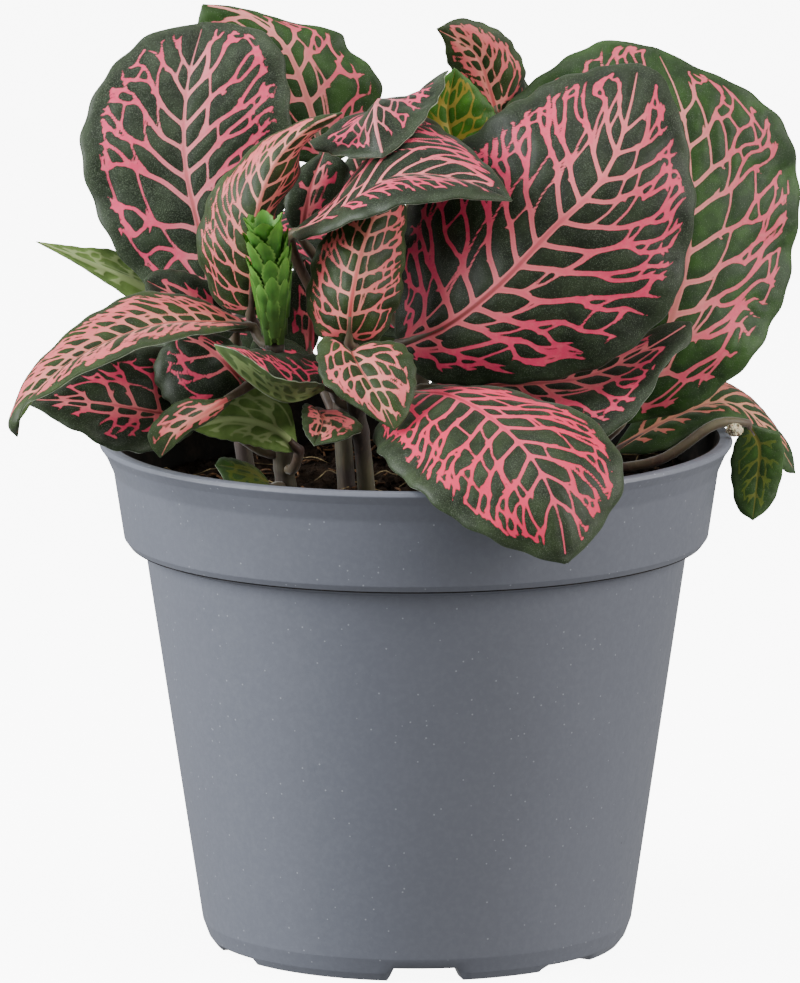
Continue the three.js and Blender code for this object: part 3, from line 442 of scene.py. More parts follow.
HABITS = {"old": OLD_HABIT, "young": YOUNG_HABIT, "under": UNDER_HABIT}
# What sets a leaf apart from its tone: the finishes of its two faces, its habit, and whether it lies
# turned over.
STYLES = {
    "back_left_big": {
        "finish": "frosted",
        "habit": {"rise": 1.2, "arch": -0.5, "spacing": 6.2, "vein": 0.5, "arm": 0.4, "links": 1.2},
    },
    "top_back": {"finish": "back", "habit": {"spacing": 6.5, "vein": 0.46, "links": 1.6}},
    "tall_left": {"finish": "peach", "tone": "young", "habit": {"rise": 0.8, "spacing": 4.4}},
    "hooded_top": {"finish": "frosted", "turned": True, "habit": {"vein": 0.38, "arm": 0.28}},
    "center_arch": {"habit": {"spacing": 5.5, "rise": 1.2, "vein": 0.36, "arm": 0.27}},
    "top_small": {"finish": "peach", "tone": "young", "habit": {"rise": 1.0, "spacing": 4.0}},
    "top_green": {"finish": "glowing", "habit": {"links": 0.8}},
    "big_right": {
        "habit": {"rib": 1.0, "vein": 0.58, "arm": 0.47, "twig": 0.25, "rise": 0.9, "links": 1.5,
                  "inner": 1.9, "band": 3.0, "spacing": 6.6},
    },
    "back_right_big": {
        "finish": "back", "habit": {"spacing": 7.5, "vein": 0.56, "arm": 0.45, "links": 1.8},
    },
    "right_fold": {"habit": {"spacing": 6.5}},
    "front_droop": {
        "finish": "crimson", "habit": {"spacing": 5.5, "vein": 0.5, "arm": 0.38, "links": 1.6},
    },
    "right_droop": {
        "finish": "beige",
        "habit": {"spacing": 4.5, "vein": 0.34, "arm": 0.26, "links": 0.5, "inner": 0.4, "rise": 1.4},
    },
    "right_hang": {"finish": "olive", "habit": {"links": 0.3, "inner": 0.2, "vein": 0.2}},
    "left_arch": {"finish": "peach", "tone": "young", "habit": {"rise": 1.2, "links": 1.5, "spacing": 4.2}},
    "left_low": {"habit": {"spacing": 6.0, "vein": 0.42, "arm": 0.32}},
    "left_mid": {"habit": {"spacing": 4.6, "vein": 0.3, "arm": 0.24, "twig": 0.15, "links": 1.2}},
    "tucked_red": {"finish": "crimson", "habit": {"spacing": 3.4, "vein": 0.28, "arm": 0.22, "twig": 0.13}},
    "inner_left": {"habit": {"spacing": 4.0, "vein": 0.28, "arm": 0.22, "twig": 0.13}},
    "inner_mid": {"habit": {"spacing": 4.0, "vein": 0.28, "arm": 0.22, "twig": 0.13}},
    "behind_spike": {"habit": {"spacing": 4.0, "vein": 0.22, "arm": 0.17, "twig": 0.1}},
    "center_up": {"habit": {"spacing": 4.4}},
    "center_down": {"habit": {"spacing": 4.4}},
    "curled_tip": {"under": "fresh"},
    "small_low": {"habit": {"spacing": 3.6}},
    "left_fold": {"finish": "rose", "habit": {"spacing": 4.5, "rise": 1.0, "vein": 0.34, "arm": 0.26}},
    "far_left": {"finish": "pale", "under": "fresh"},
    "folded_cup": {"finish": "pale", "under": "fresh", "habit": {"rise": 1.3}},
    "shade_left": {"finish": "olive"},
}


# ---- curves and the surface of a leaf ----
def catmull(points, t):
    """Uniform Catmull-Rom curve through the points, the one that the solids use."""
    points = np.asarray(points, float)
    before = 2 * points[0] - points[1]
    after = 2 * points[-1] - points[-2]
    padded = np.vstack([before, points, after])
    spans = len(points) - 1
    place = np.clip(np.asarray(t, float), 0, 1) * spans
    index = np.minimum(place.astype(int), spans - 1)
    w = (place - index)[:, None]
    p0, p1, p2, p3 = (padded[index + k] for k in range(4))
    start, end = 0.5 * (p2 - p0), 0.5 * (p3 - p1)
    return p1 + start * w + (3 * (p2 - p1) - 2 * start - end) * w**2 + (2 * (p1 - p2) + start + end) * w**3


def spaced(points, count):
    """Points at equal lengths along the curve, and its whole length."""
    t = np.linspace(0, 1, 401)
    steps = np.linalg.norm(np.diff(catmull(points, t), axis=0), axis=1)
    run = np.concatenate([[0], np.cumsum(steps)])
    return catmull(points, np.interp(np.linspace(0, run[-1], count), run, t)), run[-1]


class LeafShape:
    """A blade's middle surface: u runs from base to tip, s from the left margin, -1, to the right, 1."""

    ROWS = 240

    def __init__(self, leaf):
        self.leaf = leaf
        rib, self.length = spaced(leaf["rib"], self.ROWS + 1)
        self.step = SMALL_STEP if self.length < SMALL_LEAF else LEAF_STEP
        self.rib = rib
        self.edge = {}
        self.up = {}
        for side, name in ((-1, "left"), (1, "right")):
            edge, _ = spaced([leaf["rib"][0], *leaf[name], leaf["rib"][-1]], self.ROWS + 1)
            inner = np.clip(np.arange(self.ROWS + 1), 3, self.ROWS - 3)
            tangent = rib[inner + 3] - rib[inner - 3]
            up = np.cross(side * (edge - rib)[inner], tangent)
            self.edge[side] = edge
            self.up[side] = up / np.linalg.norm(up, axis=1)[:, None]

    def width(self, u, side):
        reach = np.linalg.norm(self.edge[side] - self.rib, axis=1)
        return np.interp(u, np.linspace(0, 1, self.ROWS + 1), reach)

    def at(self, u, s):
        """Points of the surface, for arrays u and s of one shape."""
        u, s = np.broadcast_arrays(np.asarray(u, float), np.asarray(s, float))
        row = np.clip(u, 0, 1) * self.ROWS
        low = np.minimum(row.astype(int), self.ROWS - 1)
        part = (row - low)[..., None]

        def between(table):
            return table[low] * (1 - part) + table[low + 1] * part

        rib = between(self.rib)
        out = np.zeros(rib.shape)
        for side in (-1, 1):
            chord = between(self.edge[side]) - rib
            width = np.linalg.norm(chord, axis=-1)
            t = np.abs(s)
            ease = np.minimum(1, width / WAVE_WIDTH)
            phase = TAU * (self.leaf["lobes"] * u + 0.3 * side)
            scallop = LOBE_DEPTH * t**2 * ease * np.cos(2 * phase)
            puff = self.leaf["puff"][0 if side < 0 else 1]
            lift = puff * width * 4 * t * (1 - t) + self.leaf["ripple"] * t**2 * ease * np.sin(phase)
            reach = t * (1 + scallop / np.maximum(width, 1))
            place = rib + chord * reach[..., None] + between(self.up[side]) * lift[..., None]
            mine = (s < 0) if side < 0 else (s >= 0)
            out[mine] = place[mine]
        return out


def rear_leaf(spec):
    """The curves of a leaf at the back, from its azimuth and its [radius, height] points."""
    angle = math.radians(spec["azimuth"])
    base, crest, tip = (np.array(spec[key], float) for key in ("base", "crest", "tip"))
    half, droop = spec["half"], spec.get("droop", 3)

    def place(point, side=0.0, drop=0.0):
        r, z = point
        c, n = math.cos(angle), math.sin(angle)
        return [r * c + side * n, r * n - side * c, z - drop]

    def between(a, b, t):
        return a + (b - a) * t

    first, second = crest[0] - base[0], tip[0] - crest[0]
    rise = between(base, crest, 0.5) + [0, 0.12 * first]
    fall = between(crest, tip, 0.5) + [0.1 * second, 0.15 * second]
    stations = ((base, crest, 0.25, 0.75, 0.3), (base, crest, 0.7, 1, 1), (crest, tip, 0.45, 0.85, 1),
                (crest, tip, 0.85, 0.4, 0.5))
    margins = {
        name: [place(between(a, b, t), sign * half * wide, droop * drop)
               for a, b, t, wide, drop in stations]
        for name, sign in (("left", -1), ("right", 1))
    }
    return {
        "rib": [place(p) for p in (base, rise, crest, fall, tip)], "ripple": 0.5, "tone": "old",
        "stem": spec["stem"], "at": spec["at"], **margins,
    }


def all_leaves():
    """Name and full description of every leaf."""
    leaves = dict(LEAVES)
    leaves.update({name: rear_leaf(spec) for name, spec in REAR_LEAVES.items()})
    return {name: {"puff": [0.1, 0.1], "ripple": 0.3, "lobes": 5, **leaf} for name, leaf in leaves.items()}


# ---- veins ----
def vein_net(shape, habit, rng):
    """The veins of a blade as lines of (u, s, half width) points.

    Each half blade is drawn in strips: p runs along the midrib and q outwards, and a side vein keeps its p.
    """
    length = shape.length
    pairs = max(4, round(length / habit["spacing"]))
    strip = 1 / pairs
    spread = 0.12 * strip
    lines = [[(u, 0.0, habit["rib"] * (1 - 0.85 * u)) for u in np.linspace(0, 0.97, 14)]]

    def some(number):
        return range(int(number + rng.random()))

    for side in (-1, 1):
        broad = float(np.max(shape.width(np.linspace(0, 1, 40), side)))
        chance = rng.uniform(0, 99)

        def place(p, q):
            """The midrib share and half-blade share of a place in the strips, a little out of true."""
            bend = noise.noise(Vector((0.7 * p / strip, q * broad / WANDER_LENGTH, chance)))
            p += WANDER * strip * min(1, 4 * q) * bend
            rise = habit["rise"] * (0.2 + 0.8 * min(1, max(p, 0) / 0.35))
            start = habit["first"] + p * (habit["last"] - habit["first"])
            reach = (1 - 0.5 * min(max(start, 0), 1)) * broad / length
            return max(start + (rise * q + habit["arch"] * q * q) * reach, 0.008), q

        def vein(*nodes):
            """Draws a vein through (p, q, half width) nodes as far as the margin's plain band."""
            band = habit["band"] * rng.uniform(0.75, 1.35)
            points = []
            for (p0, q0, a), (p1, q1, b) in zip(nodes, nodes[1:]):
                steps = max(1, round(math.hypot((q1 - q0) * broad, (p1 - p0) * length) / VEIN_STEP))
                for k in range(1 if points else 0, steps + 1):
                    t = k / steps
                    u, q = place(p0 + (p1 - p0) * t, q0 + (q1 - q0) * t)
                    wide = float(shape.width(u, side))
                    if u > 1 - 0.8 * band / length or q > 1 - band / max(wide, 1.3 * band):
                        points[-2:] = [(*point[:2], point[2] * thin)
                                       for point, thin in zip(points[-2:], (0.7, 0.2))]
                        nodes = ()
                        break
                    thick = (a + (b - a) * t) * min(1, 0.3 + wide / broad)
                    if min(a, b) > THINNEST:
                        thick = max(thick, 0.5 * shape.step)
                    points.append((u, side * q, thick))
                if not nodes:
                    break
            if len(points) > 1:
                lines.append(points)

        def thorn(p, q, thick, way):
            ahead, out = way * strip * rng.uniform(0.12, 0.3), rng.uniform(0.4, 1.6) / broad
            tip = (p + ahead, q + out, THORN_TIP)
            vein((p, q, thick), (p + 0.6 * ahead, q + 0.4 * out, 0.6 * thick), tip)

        def link(start, end, q, lean, thin):
            middle = ((start + end) / 2, q + 0.7 * lean, thin * 0.8)
            vein((start, q, thin * 1.1), middle, (end, q + lean, thin))

        trunks, arms = [], []
        for k in range(pairs):
            p = (k + 0.3 + rng.uniform(-0.12, 0.12)) * strip
            fork = habit["fork"] + rng.uniform(-0.12, 0.12)
            size = 1 - 0.5 * p
            thick, arm, twig = (size * habit[key] for key in ("vein", "arm", "twig"))
            vein((p, 0, thick * 1.15), (p, fork, thick))
            trunks.append((p, fork))
            for _ in some(2 * habit["thorns"]):
                thorn(p, rng.uniform(0.15, fork), twig, rng.choice((-1, 1)))
            for turn in (-1, 1):
                aim = p + turn * strip * rng.uniform(0.2, 0.29)
                bow = (p + 0.7 * (aim - p), fork + 0.08, arm)
                part = fork + rng.uniform(0.2, 0.36) if rng.random() < habit["split"] else 2.0
                arms.append((aim, fork, part))
                if part > 1:
                    vein((p, fork, thick), bow, (aim, fork + 0.2, arm), (aim, 1, 0.7 * twig))
                else:
                    vein((p, fork, thick), bow, (aim, part, arm))
                    for way in (-1, 1):
                        end = aim + way * spread
                        vein((aim, part, arm), (end, part + 0.1, twig * 1.2), (end, 1, 0.6 * twig))
                for _ in some(2 * habit["thorns"]):
                    thorn(aim, rng.uniform(fork + 0.2, min(part, 0.9)), twig * 0.9, rng.choice((-1, 1)))
                for _ in some(3 * habit["thorns"]):
                    beside = rng.choice((-1, 1)) * (spread if part < 1 else 0)
                    thorn(aim + beside, rng.uniform(0.7, 0.97), twig * 0.9, rng.choice((-1, 1)))
        for (low, a), (high, b) in zip(trunks, trunks[1:]):
            for _ in some(habit["inner"]):
                q = rng.uniform(0.14, min(a, b))
                link(low, high, q, rng.uniform(-0.03, 0.12), habit["twig"] * rng.uniform(0.7, 1))
        arms.sort()
        for (low, a, low_part), (high, b, high_part) in zip(arms, arms[1:]):
            for _ in some(habit["links"]):
                q = rng.uniform(max(a, b) + 0.08, 0.8)
                start = low + (spread if q > low_part + 0.08 else 0)
                end = high - (spread if q > high_part + 0.08 else 0)
                link(start, end, q, rng.uniform(-0.05, 0.09), habit["twig"] * rng.uniform(0.75, 1.05))
    return lines


def vein_distance(shape, grid, u, s, lines, web):
    """Signed distance in millimetres from each grid point to the nearest vein's edge, negative inside."""
    total = np.full(grid.shape[:2], math.exp(-web * VEIN_REACH))
    for line in lines:
        us, ss, halves = np.array(line, float).T
        side = 1 if ss[len(ss) // 2] >= 0 else -1
        wide = max(1.0, float(shape.width(float(us.mean()), side)))
        wide = min(wide, max(1.0, float(shape.width(float(us.max()), side))))
        i = np.searchsorted(u, (us.min() - VEIN_REACH / shape.length, us.max() + VEIN_REACH / shape.length))
        j = np.searchsorted(s, (ss.min() - VEIN_REACH / wide, ss.max() + VEIN_REACH / wide))
        block = grid[i[0]:i[1] + 1, j[0]:j[1] + 1]
        if block.size == 0:
            continue
        points = shape.at(us, ss)
        near = np.full(block.shape[:2], 2 * VEIN_REACH)
        for a, b, half_a, half_b in zip(points, points[1:], halves, halves[1:]):
            step = b - a
            t = np.clip((block - a) @ step / max(step @ step, 1e-9), 0, 1)
            away = np.linalg.norm(block - a - t[..., None] * step, axis=-1)
            near = np.minimum(near, away - (half_a + (half_b - half_a) * t))
        total[i[0]:i[1] + 1, j[0]:j[1] + 1] += np.exp(-web * near)
    return np.clip(-np.log(total) / web, -1.5, VEIN_REACH)


# ---- mesh helpers ----
def new_object(name, mesh_or_bmesh, materials, smooth=True):
    """Puts a finished mesh, drawn in millimetres, in the scene in metres with its materials."""
    if isinstance(mesh_or_bmesh, bmesh.types.BMesh):
        mesh = bpy.data.meshes.new(name)
        mesh_or_bmesh.to_mesh(mesh)
        mesh_or_bmesh.free()
    else:
        mesh = mesh_or_bmesh
    mesh.transform(Matrix.Scale(MM, 4))
    for material in materials:
        mesh.materials.append(material)
    mesh.polygons.foreach_set("use_smooth", [smooth] * len(mesh.polygons))
    piece = bpy.data.objects.new(name, mesh)
    bpy.context.scene.collection.objects.link(piece)
    return piece


def settle(piece, slot, *nodes):
    """Lets a piece ride on the plant and stand for its nodes; slot is not used."""
    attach(piece, "root")
    if nodes:
        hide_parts(*nodes)


def frames_along(points):
    """A matrix at each point whose Z follows the line and whose X turns as little as it can."""
    points = [Vector(p) for p in points]
    side = None
    frames = []
    for k, here in enumerate(points):
        ahead = points[min(k + 1, len(points) - 1)] - points[max(k - 1, 0)]
        ahead.normalize()
        if side is None:
            side = ahead.orthogonal()
        side = (side - ahead * side.dot(ahead)).normalized()
        turn = Matrix((side, ahead.cross(side), ahead)).transposed().to_4x4()
        frames.append(Matrix.Translation(here) @ turn)
    return frames


def sweep(mesh, points, radii, sides, material=0):
    """A closed tube through the points with a radius at each."""
    frames = frames_along(points)
    start = frames[0] @ Matrix.Scale(radii[0], 4)
    ring = bmesh.ops.create_circle(mesh, cap_ends=True, segments=sides, radius=1, matrix=start)["verts"]
    edges = list({edge for vert in ring for edge in vert.link_edges})
    faces = list({face for vert in ring for face in vert.link_faces})
    previous = start
    for matrix, radius in zip(frames[1:], radii[1:]):
        here = matrix @ Matrix.Scale(radius, 4)
        made = bmesh.ops.extrude_edge_only(mesh, edges=edges)["geom"]
        verts = [item for item in made if isinstance(item, bmesh.types.BMVert)]
        chosen = set(verts)
        edges = [item for item in made
                 if isinstance(item, bmesh.types.BMEdge) and chosen.issuperset(item.verts)]
        faces += [item for item in made if isinstance(item, bmesh.types.BMFace)]
        bmesh.ops.transform(mesh, matrix=here @ previous.inverted(), verts=verts)
        previous = here
    faces += bmesh.ops.contextual_create(mesh, geom=edges)["faces"]
    for face in faces:
        face.material_index = material
    bmesh.ops.recalc_face_normals(mesh, faces=faces)


def stem_station(name, height):
    """Where a stem passes a height, with its direction and radius there."""
    radius, path = STEMS[name]
    line, _ = spaced(path, STATIONS + 1)
    k = int(np.argmin(np.abs(line[:, 2] - height)))
    ahead = line[min(k + 1, STATIONS)] - line[max(k - 1, 0)]
    return line[k], ahead / np.linalg.norm(ahead), radius * (1 - STEM_TAPER * k / STATIONS)


def lathe(profile, steps):
    """A mesh spun from (radius, height) points round the upright axis."""
    mesh = bmesh.new()
    line = [mesh.verts.new((r, 0, z)) for r, z in profile]
    edges = [mesh.edges.new(pair) for pair in zip(line, line[1:])]
    bmesh.ops.spin(mesh, geom=line + edges, axis=(0, 0, 1), cent=(0, 0, 0), angle=TAU, steps=steps,
                   use_merge=True)
    bmesh.ops.remove_doubles(mesh, verts=mesh.verts[:], dist=MERGE)
    return mesh


def give_fields(data, fields):
    """Keeps numbers for the first vertices of a mesh as attributes that the finishes read."""
    for key, numbers in fields.items():
        values = np.zeros(len(data.vertices), np.float32)
        values[:len(numbers)] = numbers
        data.attributes.new(key, "FLOAT", "POINT").data.foreach_set("value", values)


def soil_height(x, y):
    """Height of the soil's solid, which slopes, rolls and has a hollow at the front."""
    reach = math.hypot(x, y) / RIM_INSIDE
    bumps = math.sin(0.31 * x + 0.6) * math.cos(0.27 * y) + 0.6 * math.sin(0.57 * x - 0.41 * y)
    dip_x, dip_y, depth, spread = SOIL_DIP
    dip = depth * math.exp(-((x - dip_x) ** 2 + (y - dip_y) ** 2) / spread)
    return SOIL_LEVEL + SOIL_SLOPE * (x / RIM_INSIDE) + SOIL_BUMP * bumps * (1 - 0.5 * reach**4) - dip


# ---- leaves ----
def blade_faces(shape, habit, turned, rng):
    """The grids of a blade's upper and lower face, its normals, and the fields that its finish reads."""
    stations = np.linspace(0, 1, 60)
    span = max(float(a + b) for a, b in zip(shape.width(stations, -1), shape.width(stations, 1)))
    rows = max(24, int(shape.length / shape.step))
    columns = 2 * max(8, int(span / shape.step / 2))
    u = np.linspace(0.004, 0.996, rows + 1)
    s = np.linspace(-1, 1, columns + 1)
    grid = shape.at(u[:, None], s[None, :])
    vein = vein_distance(shape, grid, u, s, vein_net(shape, habit, rng), habit["web"])
    from_rib = np.linalg.norm(grid - grid[:, columns // 2][:, None], axis=2)
    normal = np.cross(np.gradient(grid, axis=1), np.gradient(grid, axis=0))
    normal /= np.maximum(np.linalg.norm(normal, axis=2), 1e-9)[..., None] * (-1 if turned else 1)
    to_margin = np.minimum(from_rib[:, :1], from_rib[:, -1:]) * (1 - np.abs(s))[None, :]
    soft = np.clip(to_margin / PILLOW_SLOPE, 0, 1) ** 0.5
    pillow = PILLOW * (1 - np.exp(-(np.maximum(vein, 0) / PILLOW_SLOPE) ** 2)) - VEIN_SINK * (vein < 0)
    thick = LEAF_THICKNESS / 2 * (0.35 + 0.65 * soft)
    ridge = RIB_RIDGE * (1.1 - u[:, None]) * np.exp(-(from_rib / 0.7) ** 2)
    ridge += VEIN_RIDGE * np.exp(-(np.maximum(vein, 0) / 0.3) ** 2)
    upper = grid + normal * (thick + pillow * soft)[..., None]
    lower = grid - normal * (thick + ridge * soft - 0.3 * pillow * soft)[..., None]
    fields = {
        "vein": vein, "rib": from_rib, "along": np.broadcast_to(u[:, None], vein.shape),
        "across": np.broadcast_to(np.abs(s)[None, :], vein.shape), "margin": to_margin,
    }
    return upper, lower, normal, fields


def flat_blade(rows, columns, turned):
    """Two flat grids joined at their rim, with the lower one a unit down, and the size of one grid."""
    mesh = bmesh.new()
    bmesh.ops.create_grid(mesh, x_segments=rows, y_segments=columns, size=1)
    count = len(mesh.verts)
    bmesh.ops.create_grid(mesh, x_segments=rows, y_segments=columns, size=1,
                          matrix=Matrix.Translation((0, 0, -1)))
    mesh.verts.ensure_lookup_table()
    under = [face for face in mesh.faces if face.verts[0].co.z < -0.5]
    for face in under:
        face.material_index = 1
    bmesh.ops.reverse_faces(mesh, faces=under)
    rim = [edge for edge in mesh.edges if edge.is_boundary]
    for face in bmesh.ops.bridge_loops(mesh, edges=rim)["faces"]:
        face.material_index = 2
    bmesh.ops.recalc_face_normals(mesh, faces=mesh.faces[:])
    if not turned:    # the grid's x runs along the rib and its y to the right, so its faces look down
        bmesh.ops.reverse_faces(mesh, faces=mesh.faces[:])
    return mesh, count


def stalk_line(shape, leaf, normal):
    """The run of a leaf's stalk, from under the midrib through its stem's bark."""
    rows, columns = normal.shape[0] - 1, normal.shape[1] - 1
    stem_place, stem_way, stem_radius = stem_station(leaf["stem"], leaf["at"])
    via = [np.array(p, float) for p in leaf.get("via", [])]
    base = np.array(leaf["rib"][0], float)
    out = (via[-1] if via else base) - stem_place
    out[2] = 0
    out /= np.linalg.norm(out)
    slant = abs(float(stem_way @ out)) / stem_way[2]
    reach = (stem_radius + GAP) * math.hypot(1, slant) + PETIOLE_RADIUS * slant
    knee = stem_place + out * (reach + 1.6) + [0, 0, 0.5]
    inside = shape.at(np.array([0.16, 0.05]), np.array([0.0, 0.0]))
    down = normal[rows // 12, columns // 2] * LEAF_THICKNESS
    stalk = [inside[0] - down * 0.8, inside[1] - down, base - down * 0.3, *via, knee]
    stalk.append(stem_place + out * 0.5 * stem_radius)
    line, _ = spaced(stalk, max(14, int(spaced(stalk, 2)[1] / 1.6)))
    return line


def blade_and_stalk(name, leaf, habit, turned, rng):
    """One leaf as a mesh: upper face, lower face, rim and stalk have the material indices 0 to 3."""
    shape = LeafShape(leaf)
    upper, lower, normal, fields = blade_faces(shape, habit, turned, rng)
    rows, columns = normal.shape[0] - 1, normal.shape[1] - 1
    mesh, count = flat_blade(rows, columns, turned)
    line = stalk_line(shape, leaf, normal)
    radii = [PETIOLE_RADIUS * (0.5 + 0.5 * min(1, 0.25 + k / 5)) for k in range(len(line))]
    radii[-1] *= 1.35
    sweep(mesh, line, radii, PETIOLE_SIDES, 3)

    data = bpy.data.meshes.new(name)
    mesh.to_mesh(data)
    mesh.free()
    places = np.empty(len(data.vertices) * 3)
    data.vertices.foreach_get("co", places)
    flat = places.reshape(-1, 3)[:2 * count]
    i = np.rint((flat[:, 0] + 1) / 2 * rows).astype(int)
    j = np.rint((flat[:, 1] + 1) / 2 * columns).astype(int)
    on_top = flat[:, 2] > -0.5
    flat[:] = np.where(on_top[:, None], upper[i, j], lower[i, j])
    data.vertices.foreach_set("co", places)
    give_fields(data, {key: field[i, j] for key, field in fields.items()})
    data.update()
    return data


# ---- finishes ----
def colour_of(code):
    """Linear colour from an sRGB code such as 6b7078."""
    parts = [int(code[k:k + 2], 16) / 255 for k in (0, 2, 4)]
    return tuple(c / 12.92 if c <= 0.04045 else ((c + 0.055) / 1.055) ** 2.4 for c in parts)


class Finish:
    """A node material that is being put together."""

    def __init__(self, name):
        self.material = bpy.data.materials.new(name)
        self.material.use_nodes = True
        self.tree = self.material.node_tree
        self.shader = self.tree.nodes["Principled BSDF"]
        self.object = self.tree.nodes.new("ShaderNodeTexCoord").outputs["Object"]

    def put(self, socket, value):
        if isinstance(value, bpy.types.NodeSocket):
            self.tree.links.new(value, socket)
        elif isinstance(value, tuple) and len(value) == 3 and socket.type == "RGBA":
            socket.default_value = (*value, 1)
        else:
            socket.default_value = value

    def set(self, **values):
        for key, value in values.items():
            self.put(self.shader.inputs[key.replace("_", " ").title().replace("Ior", "IOR")], value)

    def attribute(self, name):
        node = self.tree.nodes.new("ShaderNodeAttribute")
        node.attribute_name = name
        return node.outputs["Fac"]

    def math(self, operation, a, b):
        node = self.tree.nodes.new("ShaderNodeMath")
        node.operation = operation
        self.put(node.inputs[0], a)
        self.put(node.inputs[1], b)
        return node.outputs[0]

    def ease(self, value, low, high, start=0.0, end=1.0):
        """start below low, end above high, and a smooth step between."""
        node = self.tree.nodes.new("ShaderNodeMapRange")
        node.interpolation_type = "SMOOTHSTEP"
        self.put(node.inputs["Value"], value)
        if low > high:
            low, high, start, end = high, low, end, start
        for key, number in (("From Min", low), ("From Max", high), ("To Min", start), ("To Max", end)):
            node.inputs[key].default_value = number
        return node.outputs["Result"]

    def mix(self, share, a, b):
        node = self.tree.nodes.new("ShaderNodeMix")
        node.data_type = "RGBA"
        self.put(node.inputs[0], share)
        self.put(node.inputs[6], a)
        self.put(node.inputs[7], b)
        return node.outputs[2]

    def noise(self, scale, detail=2.0, rough=0.5, distortion=0.0, stretch=None):
        node = self.tree.nodes.new("ShaderNodeTexNoise")
        node.inputs["Scale"].default_value = scale
        node.inputs["Detail"].default_value = detail
        node.inputs["Roughness"].default_value = rough
        node.inputs["Distortion"].default_value = distortion
        self.tree.links.new(self.stretched(stretch), node.inputs["Vector"])
        return node.outputs["Fac"]

    def stretched(self, stretch):
        if stretch is None:
            return self.object
        node = self.tree.nodes.new("ShaderNodeMapping")
        node.inputs["Scale"].default_value = stretch
        self.tree.links.new(self.object, node.inputs["Vector"])
        return node.outputs["Vector"]

    def specks(self, scale, share, size):
        """1 on small dots at a share of the cells of a pattern, 0 elsewhere."""
        node = self.tree.nodes.new("ShaderNodeTexVoronoi")
        node.inputs["Scale"].default_value = scale
        self.tree.links.new(self.object, node.inputs["Vector"])
        chance = self.tree.nodes.new("ShaderNodeSeparateColor")
        self.tree.links.new(node.outputs["Color"], chance.inputs["Color"])
        dot = self.ease(node.outputs["Distance"], size, size * 0.6)
        return self.math("MULTIPLY", dot, self.math("LESS_THAN", chance.outputs["Red"], share))

    def bump(self, height, strength, depth):
        node = self.tree.nodes.new("ShaderNodeBump")
        node.inputs["Strength"].default_value = strength
        node.inputs["Distance"].default_value = depth
        self.put(node.inputs["Height"], height)
        self.tree.links.new(node.outputs["Normal"], self.shader.inputs["Normal"])


FINISHES = {
    # name: blade, blade in the light, vein, pale vein near the rib, rib line, frost
    "rose": ("131b0d", "25301c", "d63a60", "dd7478", "6e2a22", 0.55),
    "frosted": ("151e10", "2e3927", "dc4068", "e08288", "a8504c", 0.85),
    "crimson": ("182110", "2d3a20", "e02c55", "dd4c68", "a02a3a", 0.6),
    "back": ("1c3212", "30501c", "d85068", "e08a84", "cf7a70", 0.35),
    "peach": ("1c2a0d", "33441b", "d85f66", "dd8a7c", "b8484a", 0.3),
    "beige": ("1c3413", "344f20", "cf6860", "d69478", "b8766a", 0.2),
    "olive": ("20380f", "33541a", "4c5c1c", "5c6024", "6a6428", 0.15),
    # glowing is painted light: a bright base colour for light shining through a young leaf
    "glowing": ("2f5a10", "4c8020", "8c7a28", "9c8a38", "9c8a38", 0.2),
    "pale": ("6f8a40", "93ab5c", "b6c67c", "c0cf88", "bccb82", 0.1),
}


